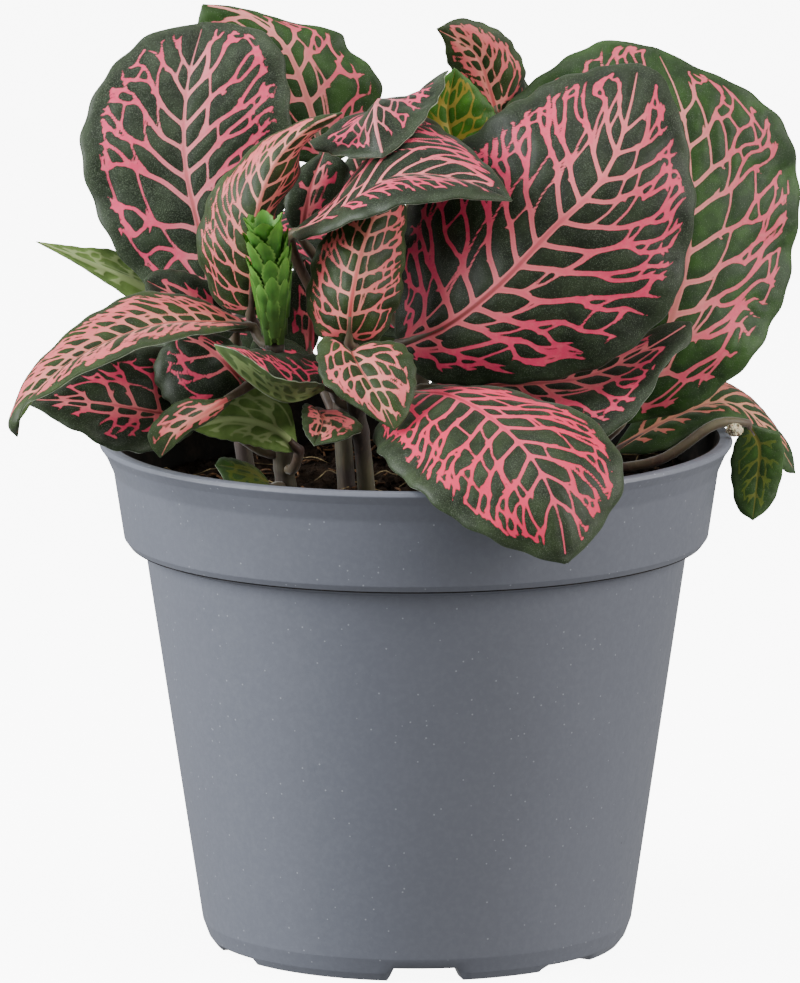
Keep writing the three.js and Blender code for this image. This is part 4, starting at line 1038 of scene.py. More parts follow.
def leaf_finish(name, settings):
    blade, lit, vein, pale, rib_line, frost = FINISHES[name]
    made = Finish(f"leaf_{name}")
    edge = made.attribute("vein")
    across = made.attribute("across")
    along = made.attribute("along")
    margin = made.attribute("margin")
    rib = made.attribute("rib")
    wobble = made.noise(2600, 2)
    edge = made.math("ADD", edge, made.math("MULTIPLY", made.math("SUBTRACT", wobble, 0.5), 0.14))
    inside = made.ease(edge, 0.07, -0.07)
    core = made.ease(edge, -0.08, -0.4)
    patches = made.noise(160, 3, 0.6)
    blade_colour = made.mix(made.ease(patches, 0.35, 0.7), colour_of(blade), colour_of(lit))
    near_vein = made.ease(edge, 0.9, 0.05, 0.0, 0.35)
    blade_colour = made.mix(near_vein, blade_colour, colour_of(blade))
    in_margin = made.ease(margin, 2.6, 0.3)
    blade_colour = made.mix(made.math("MULTIPLY", in_margin, 0.22), blade_colour, colour_of("47543c"))
    grain = made.noise(4600, 2, 0.7)
    crystals = made.ease(grain, 0.5, 0.68)
    drifts = made.ease(made.noise(210, 2), 0.3, 0.7, 0.25, 1.0)
    frosty = made.math("MULTIPLY", crystals, drifts)
    frosty = made.math("MULTIPLY", frosty, 0.5 * frost + 0.05)
    blade_colour = made.mix(frosty, blade_colour, colour_of("6f7a64"))
    toned = made.mix(made.ease(across, 0.5, 0.06), colour_of(vein), colour_of(pale))
    toned = made.mix(made.math("MULTIPLY", made.ease(core, 0.0, 1.0), 0.35), toned, colour_of(vein))
    streak = made.noise(900, 2, 0.5)
    toned = made.mix(made.ease(streak, 0.35, 0.75, 0.0, 0.3), toned, colour_of(pale))
    on_rib = made.math("MULTIPLY", made.ease(rib, 0.55, 0.15), made.ease(along, 0.75, 0.05))
    toned = made.mix(on_rib, toned, colour_of(rib_line))
    whole = made.mix(inside, blade_colour, toned)
    dots = made.math("MULTIPLY", made.specks(5200, 0.35 * frost + 0.05, 0.36),
                     made.math("SUBTRACT", 1.0, made.math("MULTIPLY", inside, 0.6)))
    whole = made.mix(made.math("MULTIPLY", dots, 0.25), whole, colour_of("a3ad9a"))
    made.set(base_color=whole, roughness=made.ease(grain, 0.3, 0.8, 0.42, 0.62))
    made.set(specular_ior_level=0.22, sheen_weight=settings.fuzz, sheen_roughness=0.4)
    made.set(subsurface_weight=0.08, subsurface_scale=0.0012)
    made.shader.inputs["Subsurface Radius"].default_value = (0.6, 1.0, 0.3)
    relief = made.math("ADD", made.math("MULTIPLY", grain, 0.5), made.math("MULTIPLY", inside, 0.35))
    made.bump(relief, 0.5, 0.00016)
    return made.material


UNDERSIDES = {
    # name: blade, blade in the light, vein
    "plain": ("3b5024", "556c38", "83965c"),
    "fresh": ("5c7838", "83a055", "b4c487"),
}


def underside_finish(name):
    shade, lit, vein = UNDERSIDES[name]
    made = Finish(f"leaf_underside_{name}")
    edge = made.attribute("vein")
    inside = made.ease(edge, 0.15, -0.1)
    patches = made.noise(200, 3, 0.6)
    blade = made.mix(made.ease(patches, 0.3, 0.7), colour_of(shade), colour_of(lit))
    whole = made.mix(made.math("MULTIPLY", inside, 0.75), blade, colour_of(vein))
    grain = made.noise(4200, 2, 0.6)
    made.set(base_color=whole, roughness=0.6, specular_ior_level=0.25, sheen_weight=0.1)
    made.bump(made.math("ADD", grain, inside), 0.4, 0.0001)
    return made.material


def rim_finish():
    made = Finish("leaf_rim")
    tone = made.mix(made.ease(made.noise(700, 2), 0.35, 0.65), colour_of("55624a"), colour_of("8c9a7c"))
    made.set(base_color=tone, roughness=0.7, sheen_weight=0.4)
    return made.material


def stalk_finish():
    made = Finish("leaf_stalk")
    tone = made.mix(made.ease(made.noise(120, 2), 0.35, 0.7), colour_of("42281c"), colour_of("565030"))
    streak = made.noise(1500, 2, 0.6, stretch=(1, 1, 0.25))
    tone = made.mix(made.ease(streak, 0.5, 0.8, 0, 0.4), tone, colour_of("7c644e"))
    made.set(base_color=tone, roughness=0.55, sheen_weight=0.3)
    made.set(subsurface_weight=0.05, subsurface_scale=0.001)
    made.bump(made.noise(2500, 2, stretch=(1, 1, 0.3)), 0.3, 0.0001)
    return made.material


def pot_finish(settings):
    made = Finish("pot_plastic")
    cloud = made.noise(22, 3, 0.55)
    tone = made.mix(made.ease(cloud, 0.3, 0.7, 0.0, 0.35), tuple(settings.colour), colour_of("686b75"))
    tone = made.mix(made.ease(made.noise(900, 2, 0.6), 0.35, 0.75, 0.0, 0.12), tone, colour_of("7f838c"))
    pale = made.specks(700, settings.specks, 0.14)
    tone = made.mix(made.math("MULTIPLY", pale, 0.4), tone, colour_of("b9bcc2"))
    dark = made.specks(260, 0.03, 0.06)
    tone = made.mix(made.math("MULTIPLY", dark, 0.7), tone, colour_of("2f3237"))
    scuff = made.noise(340, 4, 0.65, 0.6)
    rough = made.ease(scuff, 0.3, 0.75, settings.roughness - 0.06, settings.roughness + 0.08)
    made.set(base_color=tone, roughness=rough, specular_ior_level=0.42)
    made.bump(made.noise(1400, 3, 0.55), 0.12, 0.0002)
    return made.material


# Painted shade: a near-black brown for the inside of the collar above the peat.
def inner_shade_finish():
    made = Finish("stained_plastic")
    tone = made.mix(made.ease(made.noise(180, 4, 0.65), 0.4, 0.7), colour_of("0e0c0a"), colour_of("2a221c"))
    made.set(base_color=tone, roughness=0.85, specular_ior_level=0.2)
    return made.material


def peat_finish(settings):
    made = Finish("peat")
    damp = made.ease(made.noise(260, 4, 0.65), 0.3, 0.7)
    tone = made.mix(damp, tuple(settings.colour), colour_of("2c2119"))
    tone = made.mix(made.ease(made.noise(1300, 3, 0.6), 0.6, 0.85, 0, 0.45), tone, colour_of("5a4534"))
    made.set(base_color=tone, roughness=0.95, specular_ior_level=0.08)
    made.bump(made.noise(1500, 5, 0.7), 0.8, 0.0006)
    return made.material


def fibre_finish(name, dark, light):
    made = Finish(name)
    tone = made.mix(made.ease(made.noise(420, 3, 0.6), 0.35, 0.65), colour_of(dark), colour_of(light))
    made.set(base_color=tone, roughness=0.8, specular_ior_level=0.25)
    made.bump(made.noise(3000, 2), 0.4, 0.0001)
    return made.material


def perlite_finish():
    made = Finish("perlite")
    crack = made.noise(900, 4, 0.7, 1.2)
    tone = made.mix(made.ease(crack, 0.42, 0.55), colour_of("5d4b38"), colour_of("d9cda9"))
    tone = made.mix(made.ease(made.noise(2600, 3), 0.5, 0.8, 0, 0.5), tone, colour_of("f0e8d2"))
    made.set(base_color=tone, roughness=0.85, subsurface_weight=0.1, subsurface_scale=0.001)
    made.bump(made.math("ADD", crack, made.noise(3200, 3)), 0.6, 0.0003)
    return made.material


def stem_finish():
    made = Finish("stem")
    tone = made.mix(made.ease(made.noise(95, 3, 0.6), 0.35, 0.65), colour_of("2c1b13"), colour_of("454126"))
    streak = made.noise(1500, 3, 0.6, stretch=(1, 1, 0.15))
    tone = made.mix(made.ease(streak, 0.5, 0.8, 0, 0.45), tone, colour_of("66503c"))
    made.set(base_color=tone, roughness=0.6, sheen_weight=0.35)
    made.set(subsurface_weight=0.05, subsurface_scale=0.001)
    made.bump(streak, 0.5, 0.0002)
    return made.material


def spike_finish(settings):
    made = Finish("spike_green")
    tip = made.attribute("along")
    split = made.tree.nodes.new("ShaderNodeSeparateXYZ")
    made.put(split.inputs[0], made.object)
    base = made.mix(made.ease(made.noise(420, 3), 0.3, 0.7), tuple(settings.colour), colour_of("2c5a1a"))
    # painted shade: the bracts darken towards the spike's foot, below a height of 131 mm
    base = made.mix(made.ease(split.outputs["Z"], 0.131, 0.12, 0, 0.7), base, colour_of("2b3a17"))
    tone = made.mix(made.ease(tip, 0.45, 1.0, 0, 0.7), base, colour_of("62993a"))
    tone = made.mix(made.ease(made.attribute("across"), 0.7, 1.0, 0, 0.5), tone, colour_of("7fae50"))
    made.set(base_color=tone, roughness=0.48, specular_ior_level=0.4)
    made.set(subsurface_weight=0.12, subsurface_scale=0.0015)
    made.shader.inputs["Subsurface Radius"].default_value = (0.5, 1.0, 0.2)
    made.bump(made.noise(2800, 3), 0.4, 0.00012)
    return made.material


# ---- what a user may change ----
class NervePlantPot(bpy.types.PropertyGroup):
    colour: FloatVectorProperty(
        name="Plastic", description="Colour of the moulded plastic", subtype="COLOR", size=3, min=0, max=1,
        default=colour_of("61646e"),
    )
    specks: FloatProperty(
        name="Specks", description="Share of the pattern's cells that hold a pale speck", subtype="FACTOR",
        default=0.3, min=0, max=1,
    )
    roughness: FloatProperty(
        name="Roughness", description="Roughness of the plastic", subtype="FACTOR",
        default=0.48, min=0.2, max=0.9,
    )
    steps: IntProperty(name="Steps", description="Faces round the pot", default=168, min=48, max=360)


class NervePlantSoil(bpy.types.PropertyGroup):
    colour: FloatVectorProperty(
        name="Peat", description="Colour of the damp peat", subtype="COLOR", size=3, min=0, max=1,
        default=colour_of("120d09"),
    )
    crumbs: IntProperty(name="Crumbs", description="Loose crumbs of peat", default=2200, min=0, max=6000)
    fibres: IntProperty(name="Fibres", description="Loose fibres in the peat", default=260, min=0, max=1000)


class NervePlantLeaves(bpy.types.PropertyGroup):
    fuzz: FloatProperty(
        name="Fuzz", description="Sheen of the fine hairs on a blade", subtype="FACTOR",
        default=0.08, min=0, max=1,
    )
    seed: IntProperty(name="Seed", description="Seed of the vein nets", default=11, min=0)


class NervePlantSpike(bpy.types.PropertyGroup):
    colour: FloatVectorProperty(
        name="Bracts", description="Colour of the bracts", subtype="COLOR", size=3, min=0, max=1,
        default=colour_of("46782a"),
    )
    rows: IntProperty(name="Rows", description="Rows of bracts", default=12, min=4, max=24)


class NervePlantStage(bpy.types.PropertyGroup):
    floor: FloatVectorProperty(
        name="Floor", description="Colour of the floor", subtype="COLOR", size=3, min=0, max=1,
        default=(0.9, 0.9, 0.9),
    )
    glow: FloatProperty(
        name="Floor glow", description="Light that the floor gives off itself", default=9.0, min=0,
    )
    left_light: FloatProperty(
        name="Left light", description="Power of the left light", default=27, min=0, unit="POWER",
    )
    right_light: FloatProperty(
        name="Right light", description="Power of the right light", default=14, min=0, unit="POWER",
    )
    top_light: FloatProperty(
        name="Top light", description="Power of the top light", default=7, min=0, unit="POWER",
    )
    sky: FloatProperty(name="Sky", description="Strength of the light from all round", default=0.45, min=0)


class NervePlantSettings(bpy.types.PropertyGroup):
    pot: PointerProperty(type=NervePlantPot)
    soil: PointerProperty(type=NervePlantSoil)
    leaves: PointerProperty(type=NervePlantLeaves)
    spike: PointerProperty(type=NervePlantSpike)
    stage: PointerProperty(type=NervePlantStage)


# ---- pot ----
def rounded(section, radii):
    """The section with its corners turned into arcs, and points beside each arc to hold the walls flat."""
    points = [section[0]]
    for before, corner, after, radius in zip(section, section[1:], section[2:], radii):
        corner, a, b = (Vector((*p, 0)) for p in (corner, before, after))
        to_a, to_b = (a - corner).normalized(), (b - corner).normalized()
        half = to_a.angle(to_b) / 2
        room = min((a - corner).length, (b - corner).length) * 0.42
        reach = min(radius / math.tan(half), room)
        start, end = corner + to_a * reach, corner + to_b * reach
        hold = min(0.35, room * 0.3)
        points.append((start + to_a * hold)[:2])
        for k in range(ARC_STEPS + 1):
            t = k / ARC_STEPS
            points.append(((1 - t) ** 2 * start + 2 * t * (1 - t) * corner + t * t * end)[:2])
        points.append((end + to_b * hold)[:2])
    points.append(section[-1])
    return points


class NERVE_PLANT_OT_pot(bpy.types.Operator):
    """Build the nursery pot"""

    bl_idname = "nerve_plant.pot"
    bl_label = "Nursery Pot"

    def execute(self, context):
        settings = context.scene.nerve_plant.pot
        corners = [
            ((0, PLATE_HEIGHT), 0),
            ((FOOT_RADIUS - FOOT_WIDTH - 0.6, PLATE_HEIGHT), 0.4),
            ((FOOT_RADIUS - FOOT_WIDTH, 0.0), 0.3),
            ((FOOT_RADIUS, 0.0), 0.4),
            ((BODY_FOOT - 1.1, 1.6), 0.8),
            ((BODY_FOOT, 4.6), 1.0),
            ((BODY_TOP, STEP_HEIGHT - 1), 0.5),
            ((COLLAR_FOOT - 1, STEP_HEIGHT), 0.5),
            ((COLLAR_FOOT, STEP_HEIGHT + 1.4), 0.5),
            ((COLLAR_RADIUS, COLLAR_TOP), 3.0),
            ((RIM_RADIUS - 1.2, LIP_HEIGHT - 1.6), 1.5),
            ((RIM_RADIUS, LIP_HEIGHT + 0.1), 0.3),
            ((RIM_RADIUS - 0.4, POT_HEIGHT - 0.15), 0.25),
            ((RIM_RADIUS - 1.1, POT_HEIGHT), 0.2),
            ((RIM_INSIDE + 0.1, POT_HEIGHT - 0.2), 0.3),
            ((COLLAR_RADIUS - WALL - 0.4, COLLAR_TOP), 2.0),
            ((COLLAR_FOOT - WALL, STEP_HEIGHT + 3), 2.0),
            ((BODY_TOP - WALL, STEP_HEIGHT), 2.0),
            ((BODY_FOOT - WALL - 0.7, PLATE_TOP + 1.5), 1.2),
            ((PLATE_RADIUS, PLATE_TOP), 1.2),
            ((0, PLATE_TOP), 0),
        ]
        section = rounded([place for place, _ in corners], [radius for _, radius in corners[1:-1]])
        mesh = lathe(section, settings.steps)
        self.cut_notches(mesh)
        self.paint_inner_shade(mesh)
        bmesh.ops.recalc_face_normals(mesh, faces=mesh.faces[:])
        piece = new_object("nursery_pot", mesh, [pot_finish(settings), inner_shade_finish()])
        self.drill(context, piece)
        settle(piece, "pot", "pot")
        return {"FINISHED"}

    def cut_notches(self, mesh):
        """Lift the foot ring over each notch."""
        for vert in mesh.verts:
            radius = math.hypot(vert.co.x, vert.co.y)
            if vert.co.z < NOTCH_HEIGHT and FOOT_RADIUS - FOOT_WIDTH - 1 < radius < BODY_FOOT:
                azimuth = math.degrees(math.atan2(vert.co.y, vert.co.x))
                away = [abs((azimuth - notch + 180) % 360 - 180) for notch in NOTCH_ANGLES]
                nearest = away.index(min(away))
                if math.radians(away[nearest]) * radius < NOTCH_WIDTH / 2:
                    vert.co.z = max(vert.co.z, SIDE_NOTCH_HEIGHT if nearest else NOTCH_HEIGHT)

    def paint_inner_shade(self, mesh):
        """Give the inside of the collar the second finish, a near-black painted shade."""
        slope = (COLLAR_RADIUS - COLLAR_FOOT) / (COLLAR_TOP - STEP_HEIGHT)
        for face in mesh.faces:
            x, y, z = face.calc_center_median()
            wall = COLLAR_FOOT - WALL / 2 + slope * (z - STEP_HEIGHT)
            face.material_index = int(z > STEP_HEIGHT and math.hypot(x, y) < wall)

    def drill(self, context, piece):
        """Cut the drainage holes through the base plate."""
        cutters = bmesh.new()
        for angle in NOTCH_ANGLES:
            turn = Matrix.Rotation(math.radians(angle), 4, "Z")
            place = turn @ Matrix.Translation((DRAIN_CIRCLE, 0, PLATE_HEIGHT))
            bmesh.ops.create_cone(cutters, cap_ends=True, segments=DRAIN_SIDES, depth=DRAIN_DEPTH,
                                  radius1=DRAIN_RADIUS, radius2=DRAIN_RADIUS, matrix=place)
        drills = new_object("drain_drills", cutters, [])
        cut = piece.modifiers.new("drains", "BOOLEAN")
        cut.operation = "DIFFERENCE"
        cut.object = drills
        graph = context.evaluated_depsgraph_get()
        graph.update()
        drilled = bpy.data.meshes.new_from_object(piece.evaluated_get(graph))
        piece.modifiers.clear()
        piece.data = drilled
        bpy.data.objects.remove(drills)


# ---- soil ----
def poured(mesh, whole):
    """Adds a small mesh to the whole one and gives an empty one, which keeps long runs quick."""
    data = bpy.data.meshes.new("poured")
    mesh.to_mesh(data)
    mesh.free()
    whole.from_mesh(data)
    bpy.data.meshes.remove(data)
    return bmesh.new()


def somewhere(rng, margin):
    """A random place on the bed, at least margin from its edge."""
    radius = (SOIL_EDGE - margin) * math.sqrt(rng.random())
    angle = rng.uniform(0, TAU)
    return radius * math.cos(angle), radius * math.sin(angle)


class NERVE_PLANT_OT_soil(bpy.types.Operator):
    """Build the bed of peat with its crumbs, fibres and roots"""

    bl_idname = "nerve_plant.soil"
    bl_label = "Potting Soil"

    def execute(self, context):
        settings = context.scene.nerve_plant.soil
        rng = random.Random(SOIL_SEED)
        peat = peat_finish(settings)
        settle(self.bed(peat), "soil", "soil")
        settle(self.crumbs(peat, settings.crumbs, rng), "soil")
        settle(self.fibres(settings.fibres, rng), "soil")
        return {"FINISHED"}

    def height(self, x, y):
        """Top of the loose bed, rough with clods."""
        place = Vector((x, y, 0))
        rough = 0.9 * noise.fractal(place * 0.28, 1.0, 2.0, 4) + 0.35 * noise.noise(place * 1.1)
        return soil_height(x, y) + rough

    def bed(self, peat):
        profile = [(SOIL_EDGE * k / BED_RINGS, SOIL_LEVEL) for k in range(BED_RINGS + 1)]
        profile += [(BODY_TOP - WALL - 0.6, STEP_HEIGHT - 0.6), (PLATE_RADIUS, PLATE_TOP + GAP),
                    (0, PLATE_TOP + GAP)]
        mesh = lathe(profile, BED_STEPS)
        for vert in mesh.verts:
            if vert.co.z > SOIL_LEVEL - 0.01:
                vert.co.z = self.height(vert.co.x, vert.co.y)
        bmesh.ops.recalc_face_normals(mesh, faces=mesh.faces[:])
        return new_object("peat_bed", mesh, [peat])

    def crumbs(self, peat, count, rng):
        whole = bmesh.new()
        mesh = bmesh.new()
        for number in range(count):
            if number % 60 == 59:
                mesh = poured(mesh, whole)
            x, y = somewhere(rng, 1)
            size = rng.uniform(0.25, 0.6) if rng.random() < 0.85 else rng.uniform(0.6, 1.3)
            place = Matrix.Translation((x, y, self.height(x, y) + size * 0.25))
            turn = Matrix.Rotation(rng.uniform(0, TAU), 4, Vector((rng.random(), rng.random(), 1)))
            squash = Matrix.Diagonal((size, size * rng.uniform(0.6, 1), size * rng.uniform(0.5, 0.9), 1))
            bmesh.ops.create_icosphere(mesh, subdivisions=1, radius=1, matrix=place @ turn @ squash)
        poured(mesh, whole).free()
        return new_object("peat_crumbs", whole, [peat], smooth=False)

    def fibres(self, count, rng):
        whole = bmesh.new()
        mesh = bmesh.new()
        for k in range(count):
            if k % 12 == 11:
                mesh = poured(mesh, whole)
            x, y = somewhere(rng, 5)
            if x > 25 and y < 20 and k % 2:
                x, y = rng.uniform(28, 50), rng.uniform(-25, 10)
            if math.hypot(x, y) > SOIL_EDGE - 4:
                continue
            root = rng.random() < 0.12
            length = rng.uniform(8, 18) if root else rng.uniform(2.5, 9)
            way = rng.uniform(0, TAU)
            points = []
            for step in range(7):
                lift = rng.uniform(0.1, 0.6) + (0.9 * math.sin(math.pi * step / 6) if root else 0)
                points.append((x, y, self.height(x, y) + lift))
                way += rng.uniform(-0.5, 0.5)
                x += length / 6 * math.cos(way)
                y += length / 6 * math.sin(way)
                if math.hypot(x, y) > SOIL_EDGE - 1.5:
                    break
            if len(points) > 3:
                thick = rng.uniform(0.1, 0.16) if root else rng.uniform(0.09, 0.3)
                line, _ = spaced(points, 2 * len(points))
                sweep(mesh, line, [thick] * (len(line) - 1) + [thick * 0.4], 5, 0 if root else 1)
        finishes = [fibre_finish("root", "4a3c28", "9a8660"),
                    fibre_finish("peat_fibre", "2a1c12", "6e4c30")]
        poured(mesh, whole).free()
        return new_object("peat_fibres", whole, finishes)


# ---- shoots ----
class NERVE_PLANT_OT_stems(bpy.types.Operator):
    """Build the stems, thickened where a leaf stalk joins them"""

    bl_idname = "nerve_plant.stems"
    bl_label = "Stems"

    def execute(self, context):
        finish = stem_finish()
        joints = {}
        for leaf in all_leaves().values():
            joints.setdefault(leaf["stem"], []).append(leaf["at"])
        for name, (radius, path) in STEMS.items():
            x, y, z = path[0]
            line, _ = spaced([[x, y, z + 3 - STEM_DEPTH], *path], STEM_POINTS)
            radii = []
            for k, place in enumerate(line):
                swell = sum(math.exp(-((place[2] - at) / NODE_LENGTH) ** 2) for at in joints.get(name, []))
                taper = 1 - STEM_TAPER * k / (STEM_POINTS - 1)
                radii.append(radius * taper * (1 + NODE_SWELL * min(1.2, swell)))
            radii[-1] *= 0.6
            mesh = bmesh.new()
            sweep(mesh, line, radii, STEM_SIDES)
            settle(new_object(name + "_bark", mesh, [finish]), "stem", name)
        return {"FINISHED"}


class NERVE_PLANT_OT_leaves(bpy.types.Operator):
    """Build every leaf with its vein net"""

    bl_idname = "nerve_plant.leaves"
    bl_label = "Leaves"

    def execute(self, context):
        settings = context.scene.nerve_plant.leaves
        uppers = {name: leaf_finish(name, settings) for name in FINISHES}
        undersides = {name: underside_finish(name) for name in UNDERSIDES}
        shared = [rim_finish(), stalk_finish()]
        slots = {"old": "old_leaf", "young": "young_leaf", "under": "leaf_underside"}
        for order, (name, leaf) in enumerate(all_leaves().items()):
            style = STYLES.get(name, {})
            habit = {**HABITS[style.get("tone", leaf["tone"])], **style.get("habit", {})}
            rng = random.Random(settings.seed * 100 + order)
            mesh = blade_and_stalk(name, leaf, habit, style.get("turned", False), rng)
            upper = uppers[style.get("finish", "rose" if leaf["tone"] == "old" else "peach")]
            under = undersides[style.get("under", "plain")]
            piece = new_object(f"{name}_leaf", mesh, [upper, under, *shared])
            settle(piece, slots[leaf["tone"]], f"leaf_{name}")
        return {"FINISHED"}


class NERVE_PLANT_OT_spike(bpy.types.Operator):
    """Build the flower spike and the bud from overlapping bracts"""

    bl_idname = "nerve_plant.spike"
    bl_label = "Flower Spike"

    def execute(self, context):
        settings = context.scene.nerve_plant.spike
        finish = spike_finish(settings)
        rng = random.Random(SPIKE_SEED)
        line, _ = spaced(SPIKE_PATH, SPIKE_POINTS)
        mesh = bmesh.new()
        fields = {"along": [], "across": []}
        frames = frames_along(line)
        for row in range(settings.rows):
            t = row / (settings.rows - 1)
            at = frames[int(t * 50)]
            waist = 1.2 + 1.5 * math.sin(math.pi / 2 * min(1, 1.5 * t)) - 1.4 * t**5
            for rank in range(RANKS):
                azimuth = TAU / RANKS * rank + TAU / (2 * RANKS) * (row % 2) + rng.uniform(-0.2, 0.2)
                turn = Matrix.Rotation(azimuth, 4, "Z")
                length = rng.uniform(5.6, 7.6)
                self.bract(mesh, at @ turn, waist, length, 1.3 + 0.7 * t, 0.5 + 1.6 * t, fields)
        foot = line[0] - 0.4 * (line[1] - line[0]) / np.linalg.norm(line[1] - line[0])
        axis = [foot, *line[:56]]
        thick = [1.6 + 0.8 * math.sin(math.pi / 2 * min(1, k / 30)) for k in range(len(axis))]
        sweep(mesh, axis, thick, SPIKE_SIDES)
        settle(self.finished("spike_bracts", mesh, finish, fields), "spike", "flower_spike")

        mesh = bmesh.new()
        fields = {"along": [], "across": []}
        lo, hi = (Vector(corner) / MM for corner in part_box("bud"))
        foot = Matrix.Translation(((lo.x + hi.x) / 2, (lo.y + hi.y) / 2, lo.z))
        for rank in range(RANKS):
            turn = Matrix.Rotation(TAU / RANKS * rank, 4, "Z")
            self.bract(mesh, foot @ turn, 0.35, 2.9, 0.9, 0.25, fields)
        settle(self.finished("centre_bud", mesh, finish, fields), "young_leaf", "bud")
        return {"FINISHED"}

    def bract(self, mesh, at, radius, length, width, flare, fields):
        """One pointed, keeled scale with a toothed edge, hugging the spike and flaring at its tip."""
        for sheet in (1, -1):
            grid = bmesh.ops.create_grid(mesh, x_segments=BRACT_COLUMNS, y_segments=BRACT_ROWS, size=1)
            verts = grid["verts"]
            for vert in verts:
                s, t = vert.co.x, (vert.co.y + 1) / 2
                wide = width * (1 - t) ** 0.85 * (0.8 + 1.2 * t)
                if abs(s) > 0.99 and round(t * BRACT_ROWS) % 2:
                    wide *= BRACT_TOOTH
                angle = s * wide / max(radius + 0.6, 1.0)
                keel = 0.5 * (1 - abs(s)) * (1 - t)
                out = radius + 0.35 + keel + flare * t**1.8 + 0.3 * math.sin(math.pi * t)
                out += sheet * BRACT_THICKNESS / 2
                vert.co = at @ Vector((out * math.cos(angle), out * math.sin(angle), length * t - 0.8))
                fields["along"].append(t)
                fields["across"].append(abs(s))
            if sheet < 0:
                faces = {face for vert in verts for face in vert.link_faces}
                bmesh.ops.reverse_faces(mesh, faces=list(faces))

    def finished(self, name, mesh, finish, fields):
        """The mesh as an object, with each vertex's place on its bract as attributes."""
        data = bpy.data.meshes.new(name)
        mesh.to_mesh(data)
        mesh.free()
        give_fields(data, fields)
        return new_object(name, data, [finish])


class NERVE_PLANT_OT_crumbs(bpy.types.Operator):
    """Build the pale crumbs on the lip and on the soil"""

    bl_idname = "nerve_plant.crumbs"
    bl_label = "Perlite"

    def execute(self, context):
        finish = perlite_finish()
        for name in ("perlite_on_rim", "perlite_right", "perlite_left"):
            lo, hi = (Vector(corner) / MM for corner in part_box(name))
            centre, half = (lo + hi) / 2, (hi - lo) / 2
            mesh = bmesh.new()
            bmesh.ops.create_icosphere(mesh, subdivisions=5, radius=1)
            for vert in mesh.verts:
                rough = 0.12 * noise.fractal(vert.co * 2.2 + centre, 1.0, 2.0, 4)
                crease = 0.1 * abs(noise.noise(vert.co * 3.1 - centre))
                vert.co = centre + Vector(a * b for a, b in zip(vert.co * (0.95 + rough - crease), half))
            settle(new_object(name + "_crumb", mesh, [finish]), "perlite", name)
        return {"FINISHED"}


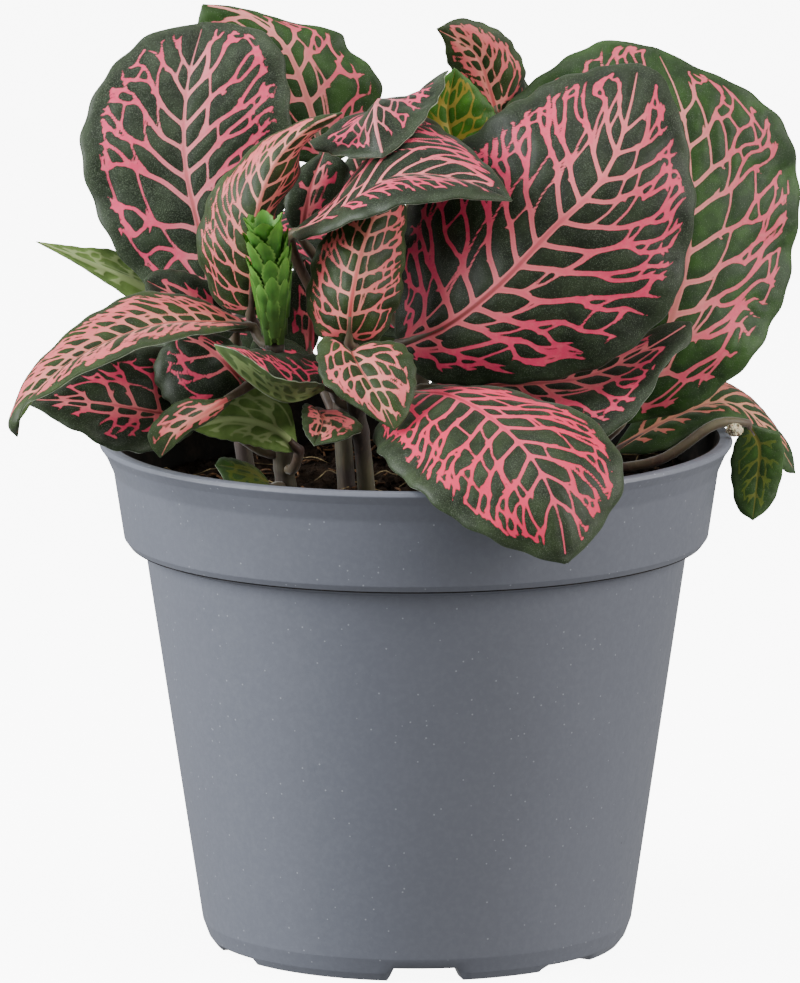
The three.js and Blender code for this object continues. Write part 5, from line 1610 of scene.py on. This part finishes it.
# ---- stage ----
class NERVE_PLANT_OT_stage(bpy.types.Operator):
    """Build the floor, the lights and the photograph's camera"""

    bl_idname = "nerve_plant.stage"
    bl_label = "Stage"

    def execute(self, context):
        settings = context.scene.nerve_plant.stage
        self.floor(settings)
        self.sky(context, settings)
        for name, place, size, power, colour in LAMPS:
            self.light(name, place, size, getattr(settings, power), colour)
        self.camera(context)
        return {"FINISHED"}

    def floor(self, settings):
        made = Finish("floor")
        made.set(base_color=tuple(settings.floor), roughness=0.8, specular_ior_level=0.1)
        made.set(emission_color=tuple(settings.floor), emission_strength=settings.glow)
        mesh = bmesh.new()
        bmesh.ops.create_grid(mesh, x_segments=1, y_segments=1, size=FLOOR_REACH / MM)
        floor = new_object("floor", mesh, [made.material], smooth=False)
        floor.visible_diffuse = floor.visible_glossy = False

    def sky(self, context, settings):
        world = bpy.data.worlds.new("studio")
        world.use_nodes = True
        background = world.node_tree.nodes["Background"]
        background.inputs["Color"].default_value = (1, 1, 1, 1)
        background.inputs["Strength"].default_value = settings.sky
        context.scene.world = world

    def light(self, name, place, size, power, colour):
        lamp = bpy.data.lights.new(name, "AREA")
        lamp.shape = "DISK"
        lamp.size = size
        lamp.energy = power
        lamp.color = colour
        holder = bpy.data.objects.new(name, lamp)
        bpy.context.scene.collection.objects.link(holder)
        turn = (Vector(LAMP_AIM) - Vector(place)).to_track_quat("-Z", "Y")
        holder.matrix_world = Matrix.Translation(place) @ turn.to_matrix().to_4x4()

    def camera(self, context):
        tilt = math.radians(CAMERA_ELEVATION)
        look = Vector((0, math.cos(tilt), -math.sin(tilt)))
        right, up = Vector((1, 0, 0)), Vector((0, math.sin(tilt), math.cos(tilt)))
        roll = math.radians(CAMERA_ROLL)
        c, n = math.cos(roll), math.sin(roll)
        right, up = right * c + up * n, up * c - right * n
        data = bpy.data.cameras.new("photo_camera")
        data.sensor_width = SENSOR_WIDTH
        data.lens = CAMERA_LENS
        data.clip_start, data.clip_end = 0.1, 20
        camera = bpy.data.objects.new("photo_camera", data)
        context.scene.collection.objects.link(camera)
        turn = Matrix((right, up, -look)).transposed().to_4x4()
        place = (Vector(CAMERA_AIM) - look * CAMERA_DISTANCE) * MM
        camera.matrix_world = Matrix.Translation(place) @ turn
        context.scene.camera = camera


class NERVE_PLANT_PT_panel(bpy.types.Panel):
    """The plant's pieces and their settings"""

    bl_label = "Potted Nerve Plant"
    bl_idname = "NERVE_PLANT_PT_panel"
    bl_space_type = "VIEW_3D"
    bl_region_type = "UI"
    bl_category = "Nerve Plant"

    def draw(self, context):
        settings = context.scene.nerve_plant
        for group, operators in PANEL:
            box = self.layout.box()
            chosen = getattr(settings, group)
            for key in chosen.__annotations__:
                box.prop(chosen, key)
            for operator in operators:
                box.operator(operator.bl_idname)


PANEL = (
    ("stage", (NERVE_PLANT_OT_stage,)),
    ("pot", (NERVE_PLANT_OT_pot,)),
    ("soil", (NERVE_PLANT_OT_soil, NERVE_PLANT_OT_crumbs)),
    ("leaves", (NERVE_PLANT_OT_stems, NERVE_PLANT_OT_leaves)),
    ("spike", (NERVE_PLANT_OT_spike,)),
)
GROUPS = (
    NervePlantPot, NervePlantSoil, NervePlantLeaves, NervePlantSpike, NervePlantStage, NervePlantSettings,
)
OPERATORS = tuple(operator for _, operators in PANEL for operator in operators)


def register():
    for item in (*GROUPS, *OPERATORS, NERVE_PLANT_PT_panel):
        bpy.utils.register_class(item)
    bpy.types.Scene.nerve_plant = PointerProperty(type=NervePlantSettings)


def unregister():
    del bpy.types.Scene.nerve_plant
    for item in reversed((*GROUPS, *OPERATORS, NERVE_PLANT_PT_panel)):
        bpy.utils.unregister_class(item)


def main():
    """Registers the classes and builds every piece."""
    register()
    bpy.ops.nerve_plant.stage()
    bpy.ops.nerve_plant.pot()
    bpy.ops.nerve_plant.soil()
    bpy.ops.nerve_plant.stems()
    bpy.ops.nerve_plant.leaves()
    bpy.ops.nerve_plant.spike()
    bpy.ops.nerve_plant.crumbs()


if __name__ == "__main__":
    main()
